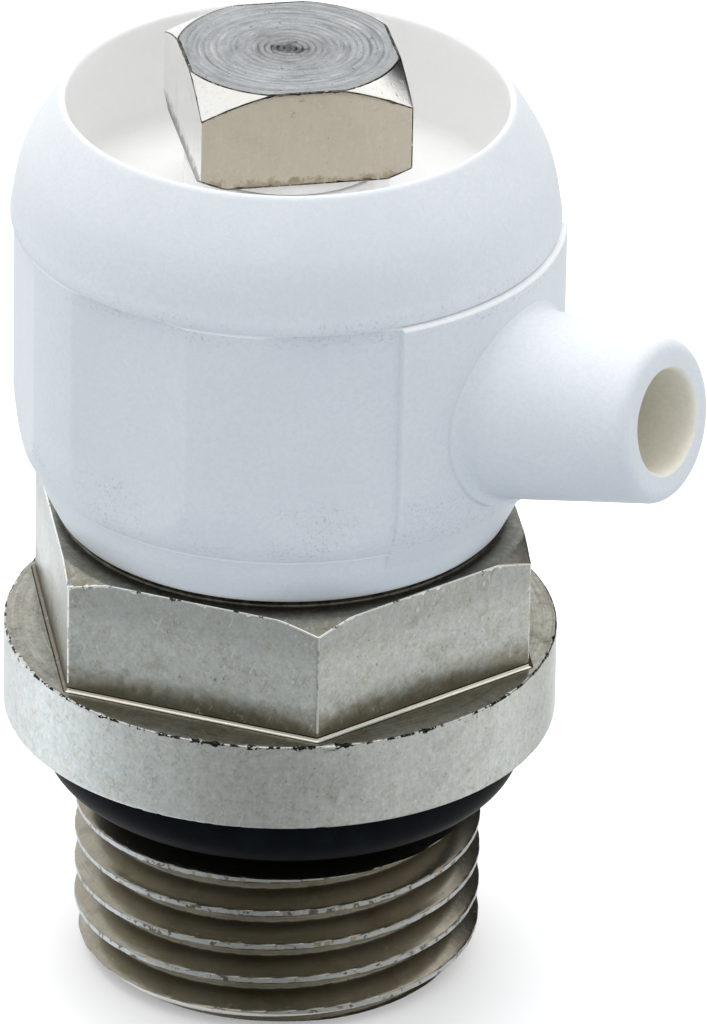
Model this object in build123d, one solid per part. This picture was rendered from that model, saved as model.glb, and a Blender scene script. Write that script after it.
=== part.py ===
# Automatic air vent for a radiator or manifold, G 1/8.
# A brass body screws into the heating system.  A moulded housing with a drain
# spout swivels on the body's upper spigot.  A square headed vent screw closes
# the outlet seat.  Inside the body sit a stack of swelling discs and a sprung
# check valve.
#
# Frame: origin on the body's axis at the sealing underside of the collar,
# +Z up to the square head, +X along the spout.  Millimetres, degrees.
# Outlines are lists of (radius, height) points.
from build123d import *
import math
import os

os.makedirs("parts", exist_ok=True)

# ------------------------------------------------------------ shared sizes
CUT = 1.0                     # how far cutters reach past a face
TRIM_GAP = 0.0001             # keeps thread envelopes just clear of the crests

SPIGOT_TOP_Z = 12.45
SCREW_THREAD_BOTTOM_Z = 10.90
SCREW_THREAD_TOP_Z = 12.45
NECK_Z = 13.15                # groove of the stem seal, which stays in the hub bore at full lift

# flat retaining rings in the inlet bore
RETAINER_R = 3.02             # middle of the band
RETAINER_WIDTH = 0.60
RETAINER_T = 0.30
RETAINER_GAP = 40
GUIDE_RETAINER_Z = -0.35      # undersides
INLET_RETAINER_Z = -6.15

# seal disc in the foot of the vent screw
SEAT_SEAL_R = 0.95
SEAT_SEAL_TOP_Z = 9.45
FIT = 0.02                    # clearance of this seal and of the retaining rings


# ------------------------------------------------------------ helpers
def rod(radius, z0, z1, x=0.0, y=0.0):
    return Pos(x, y, (z0 + z1) / 2) * Cylinder(radius, z1 - z0)


def tube(outer_r, inner_r, z0, z1):
    return rod(outer_r, z0, z1) - rod(inner_r, z0 - CUT, z1 + CUT)


def torus(ring_r, wire_r, z):
    return Pos(0, 0, z) * Torus(ring_r, wire_r)


def lathe(points):
    """Full turn of a closed outline."""
    return revolve(Plane.XZ * make_face(Polyline(*points, close=True)), Axis.Z, 360)


def lathe_edges(edges, angle=360.0, start=0.0):
    """Full or part turn of an outline made of edges."""
    return Rot(0, 0, start) * revolve(Plane.XZ * make_face(edges), Axis.Z, angle)


def segments(*points):
    """Separate straight edges from point to point."""
    return [Line(a, b) for a, b in zip(points, points[1:])]


def groove(wall_r, floor_r, z0, z1):
    """Outline points of a square groove, from its lower edge up."""
    return [(wall_r, z0), (floor_r, z0), (floor_r, z1), (wall_r, z1)]


def circle_of(count, circle_r, hole_r, turn=0.0):
    """Holes (x, y, radius) evenly spaced on a circle."""
    angles = [math.radians(turn + 360 / count * i) for i in range(count)]
    return [(circle_r * math.cos(a), circle_r * math.sin(a), hole_r) for a in angles]


def perforated(radius, z0, z1, holes):
    plate = rod(radius, z0, z1)
    for x, y, hole_r in holes:
        plate -= rod(hole_r, z0 - CUT, z1 + CUT, x, y)
    return plate


def save(shape, name):
    # a boolean may hand back a plain list of solids
    if isinstance(shape, (list, ShapeList)):
        shape = Compound(children=list(shape))
    shape.label = name
    export_step(shape, "parts/%s.step" % name)


def ridge(crest_r, root_r, pitch, half_angle, crest_width, phase_z, z0, z1):
    """Helical thread ridge, a little taller than the crest so that a plain
    cylinder can trim it.  A crest passes angle 0 at phase_z."""
    slope = math.tan(math.radians(half_angle))
    tip_r = crest_r + 0.02
    # the foot of the ridge stays narrower than the pitch
    foot_r = max(root_r - 0.08, crest_r - (0.485 * pitch - crest_width / 2) / slope)
    tip_half = crest_width / 2 + (crest_r - tip_r) * slope
    foot_half = crest_width / 2 + (crest_r - foot_r) * slope
    first_z = math.floor((z0 - phase_z) / pitch) * pitch + phase_z
    height = math.ceil((z1 - first_z) / pitch + 0.001) * pitch
    helix = Helix(pitch=pitch, height=height, radius=crest_r)
    outline = Polyline((foot_r, -foot_half), (tip_r, -tip_half),
                       (tip_r, tip_half), (foot_r, foot_half), close=True)
    section = Plane.XZ * make_face(outline)
    return Pos(0, 0, first_z) * sweep(section, path=helix, is_frenet=True)


def threaded_rod(crest_r, root_r, pitch, half_angle, crest_width, phase_z, z0, z1, envelope):
    """Rod with one helical ridge, trimmed to the crest radius and then to an
    end envelope."""
    turns = ridge(crest_r, root_r, pitch, half_angle, crest_width, phase_z,
                  z0 - 0.9 * pitch, z1 + 0.9 * pitch)
    threaded = rod(root_r, z0 - 3 * pitch, z1 + 3 * pitch) + turns
    threaded = threaded - tube(crest_r + 1.0, crest_r, z0 - 4 * pitch, z1 + 4 * pitch)
    return threaded & envelope


# ------------------------------------------------------------ valve body
# male pipe thread G 1/8
THREAD_R = 9.728 / 2          # crest radius
THREAD_ROOT_R = 8.566 / 2
THREAD_PITCH = 0.907
THREAD_HALF_ANGLE = 27.5
THREAD_CREST_WIDTH = 0.15
THREAD_PHASE_Z = -2.154       # height of one crest at angle 0
THREAD_END_Z = -6.45
THREAD_TOP_Z = -2.0
UNDERCUT_R = 4.10

# collar, with a shallow recess in its underside, and hexagon
RECESS_R = 5.95
RECESS_D = 0.08
COLLAR_R = 6.585
COLLAR_H = 2.19
HEX_AF = 11.0
HEX_TOP_Z = 5.20
HEX_CORNER_Z = 4.93           # where the top chamfer meets the corners
HEX_CHAMFER_ANGLE = 30
HEX_TURN = -49.6              # angle of one corner
HEX_FOOT_FILLET = 0.12

# pad the housing swivels on, and spigot inside the housing
PAD_R = 5.25
PAD_TOP_Z = 5.36
SPIGOT_R = 4.10
SPIGOT_CHAMFER = 0.15
SPIGOT_GROOVES = [            # floor radius, bottom, top
    (3.75, 5.90, 6.40),       # snap ring
    (3.35, 7.20, 8.20),       # lower seal
    (3.50, 8.80, 10.20),      # air groove
    (3.35, 11.20, 12.05),     # upper seal
]
PORT_Z = 9.50                 # cross holes in the air groove
PORT_R = 0.45
PORT_MID_R = 2.6
PORT_LENGTH = 2.4

# bores
INLET_BORE_R = 3.10
INLET_BORE_TOP_Z = 0.62
RETAINER_GROOVE_R = 3.35
CHAMBER_R = 2.60
CHAMBER_TOP_Z = 8.00
SEAT_HOLE_R = 0.70
SEAT_FLOOR_Z = 8.60
SEAT_TOP_Z = 8.901
STEM_BORE_R = 1.70
FEMALE_R = 2.03               # the screw's thread hole, a plain bore at its major radius


def make_male_thread():
    envelope = lathe([
        (0, THREAD_END_Z), (THREAD_ROOT_R + 0.05, THREAD_END_Z),
        (THREAD_R + TRIM_GAP, THREAD_END_Z + 0.52),
        (THREAD_R + TRIM_GAP, THREAD_TOP_Z - 0.28),
        (THREAD_ROOT_R - 0.06, THREAD_TOP_Z), (0, THREAD_TOP_Z)])
    return threaded_rod(THREAD_R, THREAD_ROOT_R, THREAD_PITCH, THREAD_HALF_ANGLE,
                        THREAD_CREST_WIDTH, THREAD_PHASE_Z, THREAD_END_Z, THREAD_TOP_Z,
                        envelope)


def make_hexagon():
    prism = Pos(0, 0, COLLAR_H) * extrude(
        Rot(0, 0, HEX_TURN) * RegularPolygon(HEX_AF / 2, 6, major_radius=False),
        HEX_TOP_Z - COLLAR_H)
    corner_r = HEX_AF / math.sqrt(3)
    slope = math.tan(math.radians(HEX_CHAMFER_ANGLE))
    margin = 0.3
    return prism & lathe([
        (0, COLLAR_H), (corner_r + margin, COLLAR_H),
        (corner_r + margin, HEX_CORNER_Z - margin * slope),
        (corner_r - (HEX_TOP_Z - HEX_CORNER_Z) / slope, HEX_TOP_Z),
        (0, HEX_TOP_Z)])


def make_spigot():
    root_z = HEX_TOP_Z - 0.5
    outline = [(0, root_z), (PAD_R, root_z), (PAD_R, PAD_TOP_Z), (SPIGOT_R, PAD_TOP_Z)]
    for floor_r, z0, z1 in SPIGOT_GROOVES:
        outline += groove(SPIGOT_R, floor_r, z0, z1)
    outline += [(SPIGOT_R, SPIGOT_TOP_Z - SPIGOT_CHAMFER),
                (SPIGOT_R - SPIGOT_CHAMFER, SPIGOT_TOP_Z), (0, SPIGOT_TOP_Z)]
    return lathe(outline)


def make_body_bores():
    """Cutter for all bores on the axis, from the inlet upwards."""
    outline = [
        (0, THREAD_END_Z - CUT), (INLET_BORE_R + 0.25, THREAD_END_Z - CUT),
        (INLET_BORE_R + 0.25, THREAD_END_Z), (INLET_BORE_R, THREAD_END_Z + 0.20)]
    for z in (INLET_RETAINER_Z, GUIDE_RETAINER_Z):
        outline += groove(INLET_BORE_R, RETAINER_GROOVE_R, z - FIT, z + RETAINER_T + FIT)
    female_bottom_z = SCREW_THREAD_BOTTOM_Z - 0.20
    outline += [
        (INLET_BORE_R, INLET_BORE_TOP_Z),
        (CHAMBER_R, INLET_BORE_TOP_Z), (CHAMBER_R, CHAMBER_TOP_Z),
        # seat: a raised lip round the hole
        (SEAT_HOLE_R, CHAMBER_TOP_Z), (SEAT_HOLE_R, SEAT_TOP_Z),
        (SEAT_HOLE_R + 0.30, SEAT_TOP_Z), (SEAT_HOLE_R + 0.45, SEAT_FLOOR_Z),
        (STEM_BORE_R, SEAT_FLOOR_Z), (STEM_BORE_R, female_bottom_z),
        (FEMALE_R, female_bottom_z), (FEMALE_R, SPIGOT_TOP_Z - 0.12),
        (FEMALE_R + 0.12, SPIGOT_TOP_Z), (FEMALE_R + 0.12, SPIGOT_TOP_Z + CUT),
        (0, SPIGOT_TOP_Z + CUT)]
    return lathe(outline)


def make_valve_body():
    core_bottom_z = THREAD_TOP_Z - 0.30
    core = lathe([
        (0, core_bottom_z), (UNDERCUT_R, core_bottom_z),
        (UNDERCUT_R, RECESS_D), (RECESS_R, RECESS_D), (RECESS_R, 0.0),
        (COLLAR_R - 0.10, 0.0), (COLLAR_R, 0.10),
        (COLLAR_R, COLLAR_H - 0.07), (COLLAR_R - 0.07, COLLAR_H),
        (0, COLLAR_H)])
    body = core + make_hexagon() + make_spigot()
    # small turned fillet where the hexagon stands on the collar
    foot = [e for e in body.edges()
            if abs(e.center().Z - COLLAR_H) < 1e-4
            and e.geom_type == GeomType.LINE and e.length > 5.5]
    body = fillet(foot, HEX_FOOT_FILLET)
    body = make_male_thread() + body
    body -= make_body_bores()
    for k in range(4):
        body -= Rot(0, 0, 45 + 90 * k) * (
            Pos(PORT_MID_R, 0, PORT_Z) * Rot(0, 90, 0) * Cylinder(PORT_R, PORT_LENGTH))
    return body


# ------------------------------------------------------------ vent screw
# M4 x 0.7
SCREW_R = 2.00
SCREW_ROOT_R = 1.63
SCREW_PITCH = 0.70
SCREW_HALF_ANGLE = 30
SCREW_CREST_WIDTH = 0.0875
SCREW_PHASE_Z = 0.30          # a crest passes angle 0 at this height, modulo pitch
SCREW_CORE_R = SCREW_ROOT_R - 0.02
STEM_R = 1.25
STEM_BOTTOM_Z = 8.99
NECK_R = 1.50
NECK_HALF_H = 0.35
HEAD_AF = 5.0
HEAD_BOTTOM_Z = 14.80
HEAD_TOP_Z = 17.157
HEAD_TURN = 42.9
HEAD_CHAMFER_ANGLE = 31.9
HEAD_TOP_R = 2.62             # inner edges of the corner chamfers
HEAD_BOTTOM_R = 3.14


def make_screw_head():
    corner_r = HEAD_AF / 2 * math.sqrt(2)
    slope = math.tan(math.radians(HEAD_CHAMFER_ANGLE))
    outer_r = corner_r + 0.2
    block = Pos(0, 0, (HEAD_BOTTOM_Z + HEAD_TOP_Z) / 2) * Rot(0, 0, HEAD_TURN) * Box(
        HEAD_AF, HEAD_AF, HEAD_TOP_Z - HEAD_BOTTOM_Z)
    return block & lathe([
        (0, HEAD_BOTTOM_Z), (HEAD_BOTTOM_R, HEAD_BOTTOM_Z),
        (outer_r, HEAD_BOTTOM_Z + (outer_r - HEAD_BOTTOM_R) * slope),
        (outer_r, HEAD_TOP_Z - (outer_r - HEAD_TOP_R) * slope),
        (HEAD_TOP_R, HEAD_TOP_Z), (0, HEAD_TOP_Z)])


def make_screw_stem():
    return lathe([
        (0, STEM_BOTTOM_Z), (STEM_R - 0.10, STEM_BOTTOM_Z), (STEM_R, STEM_BOTTOM_Z + 0.10),
        (STEM_R, SCREW_THREAD_BOTTOM_Z - 0.05),
        (SCREW_CORE_R, SCREW_THREAD_BOTTOM_Z + 0.2), (SCREW_CORE_R, SCREW_THREAD_TOP_Z - 0.12),
        (SCREW_R, SCREW_THREAD_TOP_Z + 0.10),
        *groove(SCREW_R, NECK_R, NECK_Z - NECK_HALF_H, NECK_Z + NECK_HALF_H),
        (SCREW_R, 14.60), (1.85, 14.70), (1.85, HEAD_BOTTOM_Z + 0.3), (0, HEAD_BOTTOM_Z + 0.3)])


def make_vent_screw():
    z0 = SCREW_THREAD_BOTTOM_Z + 0.05
    z1 = SCREW_THREAD_TOP_Z - 0.05
    envelope = lathe([
        (0, z0), (SCREW_CORE_R, z0),
        (SCREW_R + TRIM_GAP, SCREW_THREAD_BOTTOM_Z + 0.38), (SCREW_R + TRIM_GAP, z1),
        (0, z1)])
    thread = threaded_rod(SCREW_R, SCREW_ROOT_R, SCREW_PITCH, SCREW_HALF_ANGLE,
                          SCREW_CREST_WIDTH, SCREW_PHASE_Z, SCREW_THREAD_BOTTOM_Z,
                          SCREW_THREAD_TOP_Z, envelope)
    screw = thread + make_screw_stem()
    screw = screw + make_screw_head()
    # pocket for the seat seal
    screw -= rod(SEAT_SEAL_R + FIT, 8.5, SEAT_SEAL_TOP_Z + FIT)
    return screw


# ------------------------------------------------------------ housing
HOUSING_BOTTOM_Z = 5.39
HOUSING_BORE_R = 4.15
SNAP_GROOVE = (4.32, 5.86, 6.44)   # floor radius, bottom, top
CUP_FLOOR_Z = 13.21
CUP_CEILING_Z = 12.50         # top of the housing bore, below the cup floor
RIM_TOP_Z = 15.875
SEAM_Z = 12.83
BAND_R = 6.43                 # bridges between the flats
FLAT_APOTHEM = 6.215
FLAT_TURN = -3.2
SECTOR_R = 6.60               # raised sector round the spout
SECTOR_FROM, SECTOR_TO = -33.0, 31.0
HUB_R = 2.42
HUB_TOP_Z = 14.46
HUB_BORE_R = 2.05
ROOT_R = 4.6                  # the sector and the spout start here, inside the wall

# spout: a tapered tube that rises a little outwards, measured along its axis
SPOUT_TILT = 8.9
SPOUT_Z0 = 8.738              # height at which its axis meets the main axis
SPOUT_END = 10.64
SPOUT_TIP_R = 1.93
SPOUT_BASE_R = 2.33
SPOUT_BASE = 6.0              # where the base radius holds
SPOUT_ROUND = 0.34            # rounding of the mouth
SPOUT_BORE_R = 1.21
SPOUT_BORE_DEPTH = 5.35       # inner end of the wide bore
SPOUT_PORT_R = 0.60
SPOUT_PORT_START = 3.2
SPOUT_CHAMFER = 0.10


def make_lower_shell():
    """Turned lower part with seven flats; the sector covers the eighth place."""
    shell = lathe_edges([
        *segments((0, HOUSING_BOTTOM_Z), (5.35, HOUSING_BOTTOM_Z),
                  (5.41, HOUSING_BOTTOM_Z + 0.06)),
        Spline((5.41, HOUSING_BOTTOM_Z + 0.06), (5.72, 6.10), (5.93, 6.68)),
        Line((5.93, 6.68), (6.03, 6.80)),
        Spline((6.03, 6.80), (6.27, 7.30), (BAND_R, 8.10),
               tangents=((0.45, 1), (0.02, 1))),
        *segments((BAND_R, 8.10), (BAND_R, SEAM_Z), (0, SEAM_Z), (0, HOUSING_BOTTOM_Z)),
    ])
    for k in range(1, 8):
        shell -= Rot(0, 0, FLAT_TURN + 45 * k) * (
            Pos(FLAT_APOTHEM + 1.0, 0, (SEAM_Z + HOUSING_BOTTOM_Z) / 2)
            * Box(2.0, 8.0, SEAM_Z - HOUSING_BOTTOM_Z))
    return shell


def make_shoulder():
    """Beaded shoulder, rim, cup and hub above the seam."""
    return lathe_edges([
        Line((0, SEAM_Z), (6.40, SEAM_Z)),
        Spline((6.40, SEAM_Z), (6.47, SEAM_Z + 0.06), (6.475, SEAM_Z + 0.20),
               (6.43, SEAM_Z + 0.42)),
        Spline((6.43, SEAM_Z + 0.42), (6.30, 14.02), (5.98, 14.85), (5.42, 15.74),
               tangents=((-0.05, 1), (-0.60, 0.80))),
        Spline((5.42, 15.74), (5.29, RIM_TOP_Z), (5.19, 15.74),
               tangents=((-0.55, 0.8), (-0.15, -1))),
        Line((5.19, 15.74), (5.27, CUP_FLOOR_Z + 0.25)),
        Spline((5.27, CUP_FLOOR_Z + 0.25), (5.20, CUP_FLOOR_Z + 0.07), (5.02, CUP_FLOOR_Z)),
        Line((5.02, CUP_FLOOR_Z), (HUB_R + 0.16, CUP_FLOOR_Z)),
        Spline((HUB_R + 0.16, CUP_FLOOR_Z), (HUB_R + 0.05, CUP_FLOOR_Z + 0.05),
               (HUB_R, CUP_FLOOR_Z + 0.18)),
        *segments((HUB_R, CUP_FLOOR_Z + 0.18), (HUB_R, HUB_TOP_Z - 0.06),
                  (HUB_R - 0.06, HUB_TOP_Z), (0, HUB_TOP_Z), (0, SEAM_Z)),
    ])


def make_sector():
    return lathe_edges([
        Line((ROOT_R, 6.10), (5.70, 6.10)),
        Spline((5.70, 6.10), (6.10, 6.85), (6.42, 7.55), (SECTOR_R, 8.60),
               tangents=((0.42, 1), (0.0, 1))),
        *segments((SECTOR_R, 8.60), (SECTOR_R, SEAM_Z - 0.06),
                  (SECTOR_R - 0.10, SEAM_Z + 0.04), (ROOT_R, SEAM_Z + 0.04), (ROOT_R, 6.10)),
    ], angle=SECTOR_TO - SECTOR_FROM, start=SECTOR_FROM)


def make_spout():
    """Cone along +Z with a rounded mouth."""
    taper = (SPOUT_BASE_R - SPOUT_TIP_R) / (SPOUT_END - SPOUT_BASE)
    root_r = SPOUT_TIP_R + taper * (SPOUT_END - ROOT_R)
    arc_start = (SPOUT_TIP_R + taper * SPOUT_ROUND, SPOUT_END - SPOUT_ROUND)
    inset = SPOUT_ROUND * (1 - math.cos(math.pi / 4))
    arc_middle = (SPOUT_TIP_R - inset, SPOUT_END - inset)
    arc_end = (SPOUT_TIP_R - SPOUT_ROUND, SPOUT_END)
    return lathe_edges([
        *segments((0, ROOT_R), (root_r, ROOT_R), arc_start),
        ThreePointArc(arc_start, arc_middle, arc_end),
        *segments(arc_end, (0, SPOUT_END), (0, ROOT_R)),
    ])


def make_housing():
    along_spout = Pos(0, 0, SPOUT_Z0) * Rot(0, -SPOUT_TILT, 0) * Rot(0, 90, 0)
    housing = make_lower_shell() + make_shoulder() + make_sector() + along_spout * make_spout()
    housing -= lathe([
        (0, HOUSING_BOTTOM_Z - CUT), (HOUSING_BORE_R + 0.25, HOUSING_BOTTOM_Z - CUT),
        (HOUSING_BORE_R + 0.25, HOUSING_BOTTOM_Z), (HOUSING_BORE_R, HOUSING_BOTTOM_Z + 0.25),
        *groove(HOUSING_BORE_R, *SNAP_GROOVE),
        (HOUSING_BORE_R, CUP_CEILING_Z), (HUB_BORE_R, CUP_CEILING_Z),
        (HUB_BORE_R, HUB_TOP_Z - 0.08), (HUB_BORE_R + 0.08, HUB_TOP_Z),
        (HUB_BORE_R + 0.08, HUB_TOP_Z + CUT), (0, HUB_TOP_Z + CUT)])
    housing -= along_spout * rod(SPOUT_BORE_R, SPOUT_BORE_DEPTH, SPOUT_END + CUT)
    housing -= along_spout * (Pos(0, 0, SPOUT_END - SPOUT_CHAMFER / 2) * Cone(
        SPOUT_BORE_R, SPOUT_BORE_R + SPOUT_CHAMFER, SPOUT_CHAMFER))
    housing -= along_spout * rod(SPOUT_PORT_R, SPOUT_PORT_START, SPOUT_BORE_DEPTH + 0.2)
    return housing


save(make_valve_body(), "valve_body")
save(make_housing(), "spout_housing")
save(make_vent_screw(), "vent_screw")

# ------------------------------------------------------------ seals and rings
SEAL_SHIFT = (0.068, 0.042)   # the thread seal sits a little to one side

save(Pos(*SEAL_SHIFT, 0) * torus(4.98, 0.78, -0.82), "thread_seal_ring")

ROUND_SEALS = [               # name, ring radius, wire radius, height
    ("lower_housing_seal", 3.75, 0.38, 7.70),
    ("upper_housing_seal", 3.75, 0.38, 11.62),
    ("stem_seal_ring", 1.77, 0.26, NECK_Z),
]
for name, ring_r, wire_r, z in ROUND_SEALS:
    save(torus(ring_r, wire_r, z), name)

FLAT_RINGS = [                # name, outer radius, inner radius, bottom, top
    ("head_washer", 2.40, 2.03, 14.49, 14.78),
    ("filter_pad", 2.50, 0.70, 0.66, 1.06),
    ("check_valve_seal", 1.85, 0.99, -4.30, -4.07),
]
for name, outer_r, inner_r, z0, z1 in FLAT_RINGS:
    save(tube(outer_r, inner_r, z0, z1), name)

save(rod(SEAT_SEAL_R, 8.92, SEAT_SEAL_TOP_Z), "seat_seal")


def make_wire_ring(ring_r, wire_r, z, gap, turn):
    """Open ring of round wire, its gap centred on the angle turn."""
    arc = CenterArc((0, 0, z), ring_r, turn + gap / 2, 360 - gap)
    a = math.radians(turn + gap / 2)
    start = Plane(origin=(ring_r * math.cos(a), ring_r * math.sin(a), z),
                  z_dir=(-math.sin(a), math.cos(a), 0))
    return sweep(start * Circle(wire_r), path=arc)


def make_retainer(z, turn):
    """Flat open ring, its gap centred on the angle turn."""
    half_width = RETAINER_WIDTH / 2
    band = tube(RETAINER_R + half_width, RETAINER_R - half_width, z, z + RETAINER_T)
    reach = 9
    half_gap = reach * math.tan(math.radians(RETAINER_GAP / 2))
    wedge = Rot(0, 0, turn) * extrude(make_face(Polyline(
        (0, 0), (reach, half_gap), (reach, -half_gap), close=True)), RETAINER_T + 2 * CUT)
    return band - Pos(0, 0, z - CUT) * wedge


save(make_wire_ring(ring_r=4.04, wire_r=0.22, z=6.15, gap=30, turn=180), "housing_snap_ring")
save(make_retainer(GUIDE_RETAINER_Z, turn=90), "guide_retaining_ring")
save(make_retainer(INLET_RETAINER_Z, turn=-90), "inlet_retaining_ring")

# ------------------------------------------------------------ swelling disc stack
DISC_COUNT = 6
DISC_R = 2.45
DISC_T = 0.95
DISC_PITCH = 1.00
DISC_BASE_Z = 1.55
DISC_HOLE_R = 0.50
STACK_TOP_Z = DISC_BASE_Z + DISC_COUNT * DISC_PITCH
PLATE_R = 2.57
PLATE_T = 0.40
CARRIER_Z = 1.10
PIN_R = 0.45

for i in range(DISC_COUNT):
    z = DISC_BASE_Z + i * DISC_PITCH
    save(tube(DISC_R, DISC_HOLE_R, z, z + DISC_T), "swelling_disc_%d" % (i + 1))

# the carrier is a plate with the pin that holds the discs
carrier = perforated(PLATE_R, CARRIER_Z, CARRIER_Z + PLATE_T, circle_of(6, 1.80, 0.42))
save(carrier + rod(PIN_R, CARRIER_Z, STACK_TOP_Z + 0.38), "disc_carrier")
top_holes = [(0, 0, 0.50)] + circle_of(4, 1.45, 0.55, 45)
save(perforated(PLATE_R, STACK_TOP_Z, STACK_TOP_Z + PLATE_T, top_holes), "disc_top_plate")

# ------------------------------------------------------------ check valve
VALVE_R = 3.08                # guide and seat, in the inlet bore
SEAT_LIP_Z = -4.32
SEAT_OUTLINE = [
    (1.30, -5.50), (VALVE_R, -5.50), (VALVE_R, -4.60), (2.90, -4.50), (1.75, -4.50),
    (1.60, SEAT_LIP_Z), (1.40, SEAT_LIP_Z), (1.30, SEAT_LIP_Z - 0.10)]
PLUNGER_OUTLINE = [
    (0, -4.62), (1.02, -4.62), (1.15, -4.50), (1.15, -4.32), (0.97, -4.32),
    (0.97, -4.05), (1.95, -4.05), (1.95, -3.50), (1.80, -3.35),
    (1.00, -3.35), (1.00, -2.60), (0.90, -2.50), (0.45, -2.50),
    (0.45, 0.05), (0.35, 0.15), (0, 0.15)]


def make_guide():
    """Perforated plate with a bored boss below it."""
    guide = perforated(VALVE_R, 0.0, 0.60, circle_of(6, 1.95, 0.40, 30)) + rod(0.95, -0.90, 0.0)
    return guide - rod(0.50, -2, 2)


def make_spring(coil_r, wire_r, z0, z1, coils):
    """Round wire helix whose centre line ends one wire radius inside z0 and z1."""
    height = (z1 - z0) - 2 * wire_r
    pitch = height / coils
    helix = Helix(pitch=pitch, height=height, radius=coil_r)
    start = Plane(origin=(coil_r, 0, 0), z_dir=(0, 2 * math.pi * coil_r, pitch))
    return Pos(0, 0, z0 + wire_r) * sweep(start * Circle(wire_r), path=helix, is_frenet=True)


save(make_guide(), "check_valve_guide")
save(lathe(SEAT_OUTLINE), "check_valve_seat")
save(lathe(PLUNGER_OUTLINE), "check_valve_plunger")
save(make_spring(coil_r=1.20, wire_r=0.12, z0=-3.33, z1=-0.02, coils=5), "check_valve_spring")

# ------------------------------------------------------------ inlet strainer
# thin plate with a hexagonal field of holes
MESH_PITCH = 0.62
MESH_FIELD_R = 2.35
MESH_HOLE_R = 0.20

mesh = []
for i in range(-4, 5):
    for j in range(-4, 5):
        x = MESH_PITCH * (i + 0.5 * j)
        y = MESH_PITCH * j * math.sqrt(3) / 2
        if math.hypot(x, y) < MESH_FIELD_R:
            mesh.append((x, y, MESH_HOLE_R))
save(perforated(3.06, -5.78, -5.53, mesh), "inlet_strainer")
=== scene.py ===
# Air vent valve standing on its axis, +Z up: a nickel-plated body with a threaded foot, a
# round collar and a hexagon, a white housing whose spout points along +X and rises a little,
# and a square-headed vent screw on top.  z = 0 is the underside of the collar.
# Geometry is in millimetres and is scaled to metres when a mesh is built.
import math
from functools import cached_property

import bpy
import numpy as np
from mathutils import Matrix, Vector


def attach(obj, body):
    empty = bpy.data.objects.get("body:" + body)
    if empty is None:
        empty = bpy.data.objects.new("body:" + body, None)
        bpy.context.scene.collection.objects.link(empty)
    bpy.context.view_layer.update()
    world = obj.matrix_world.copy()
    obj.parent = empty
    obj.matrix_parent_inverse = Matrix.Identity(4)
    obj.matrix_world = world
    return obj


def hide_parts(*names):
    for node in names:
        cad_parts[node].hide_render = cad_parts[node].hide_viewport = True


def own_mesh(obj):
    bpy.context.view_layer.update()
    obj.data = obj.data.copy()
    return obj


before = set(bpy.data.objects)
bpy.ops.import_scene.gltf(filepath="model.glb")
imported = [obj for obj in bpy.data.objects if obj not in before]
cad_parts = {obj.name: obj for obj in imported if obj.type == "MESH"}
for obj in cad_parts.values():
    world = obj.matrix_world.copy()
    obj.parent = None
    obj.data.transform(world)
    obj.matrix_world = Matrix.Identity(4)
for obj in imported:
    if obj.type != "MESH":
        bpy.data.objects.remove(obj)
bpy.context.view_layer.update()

MM = 0.001
TAU = math.tau
rad = math.radians

VIEW_HEADING = 31.9           # heading of the camera, degrees about +Z
BODY_FOOT = -6.45             # lowest point, which stands on the floor


# =====================================================================
# numbers round a ring
# =====================================================================
def wrap(value, period):
    """Value brought to within half a period of zero."""
    return (value + period / 2) % period - period / 2


def ease(share):
    return share * share * (3 - 2 * share)


def smooth_min(one, other, width):
    share = np.clip(0.5 + 0.5 * (other - one) / width, 0, 1)
    return other * (1 - share) + one * share - width * share * (1 - share)


def value_noise(turn, along, columns, seed):
    """Seeded noise: turn runs once round (0..1), along is free."""
    rows = 97
    table = np.random.default_rng(seed).random((columns, rows))
    column, row = np.asarray(turn) * columns, np.asarray(along)
    left, low = np.floor(column).astype(int), np.floor(row).astype(int)
    across, rise = ease(column - left), ease(row - low)
    right, high = (left + 1) % columns, (low + 1) % rows
    left, low = left % columns, low % rows
    return ((table[left, low] * (1 - across) + table[right, low] * across) * (1 - rise)
            + (table[left, high] * (1 - across) + table[right, high] * across) * rise)


def ring_noise(turn, along, columns, seed, octaves=2):
    total, weight, weights = 0.0, 1.0, 0.0
    for k in range(octaves):
        scale = 2 ** k
        layer = value_noise(turn, np.asarray(along) * scale, columns * scale, seed + 17 * k)
        total = total + weight * layer
        weights += weight
        weight *= 0.5
    return total / weights


def nicks(theta, seed, count, width, depth):
    """Sparse small dents round a rim: width in degrees, 0 on most of it, up to depth."""
    rng = np.random.default_rng(seed)
    dents = np.zeros_like(theta)
    for _ in range(count):
        centre = rng.random() * TAU
        half_width = rad(width * (0.35 + rng.random()))
        height = depth * (0.25 + 0.75 * rng.random() ** 2)
        distance = np.abs(wrap(theta - centre, TAU))
        dents = np.maximum(dents, height * np.clip(1 - (distance / half_width) ** 2, 0, 1))
    return dents


def angles(edges, base=720):
    """Angles of the grid lines: an even set, with more lines close to each edge (degrees)."""
    spread = (0.06, 0.14, 0.25, 0.40)
    lines = list(np.arange(base) * 360.0 / base)
    for edge in edges:
        lines = [x for x in lines if abs(wrap(x - edge, 360)) > spread[-1] + 0.05]
        lines.append(edge % 360)
        for step in spread:
            lines += [(edge + step) % 360, (edge - step) % 360]
    return np.radians(np.array(sorted(set(round(x, 6) for x in lines))))


def even_angles(step):
    return np.radians(np.arange(0, 360, step))


def strip_middles(theta):
    """Middle of each strip between grid lines, in degrees."""
    return np.degrees(theta + ((np.roll(theta, -1) - theta) % TAU) / 2)


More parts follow.
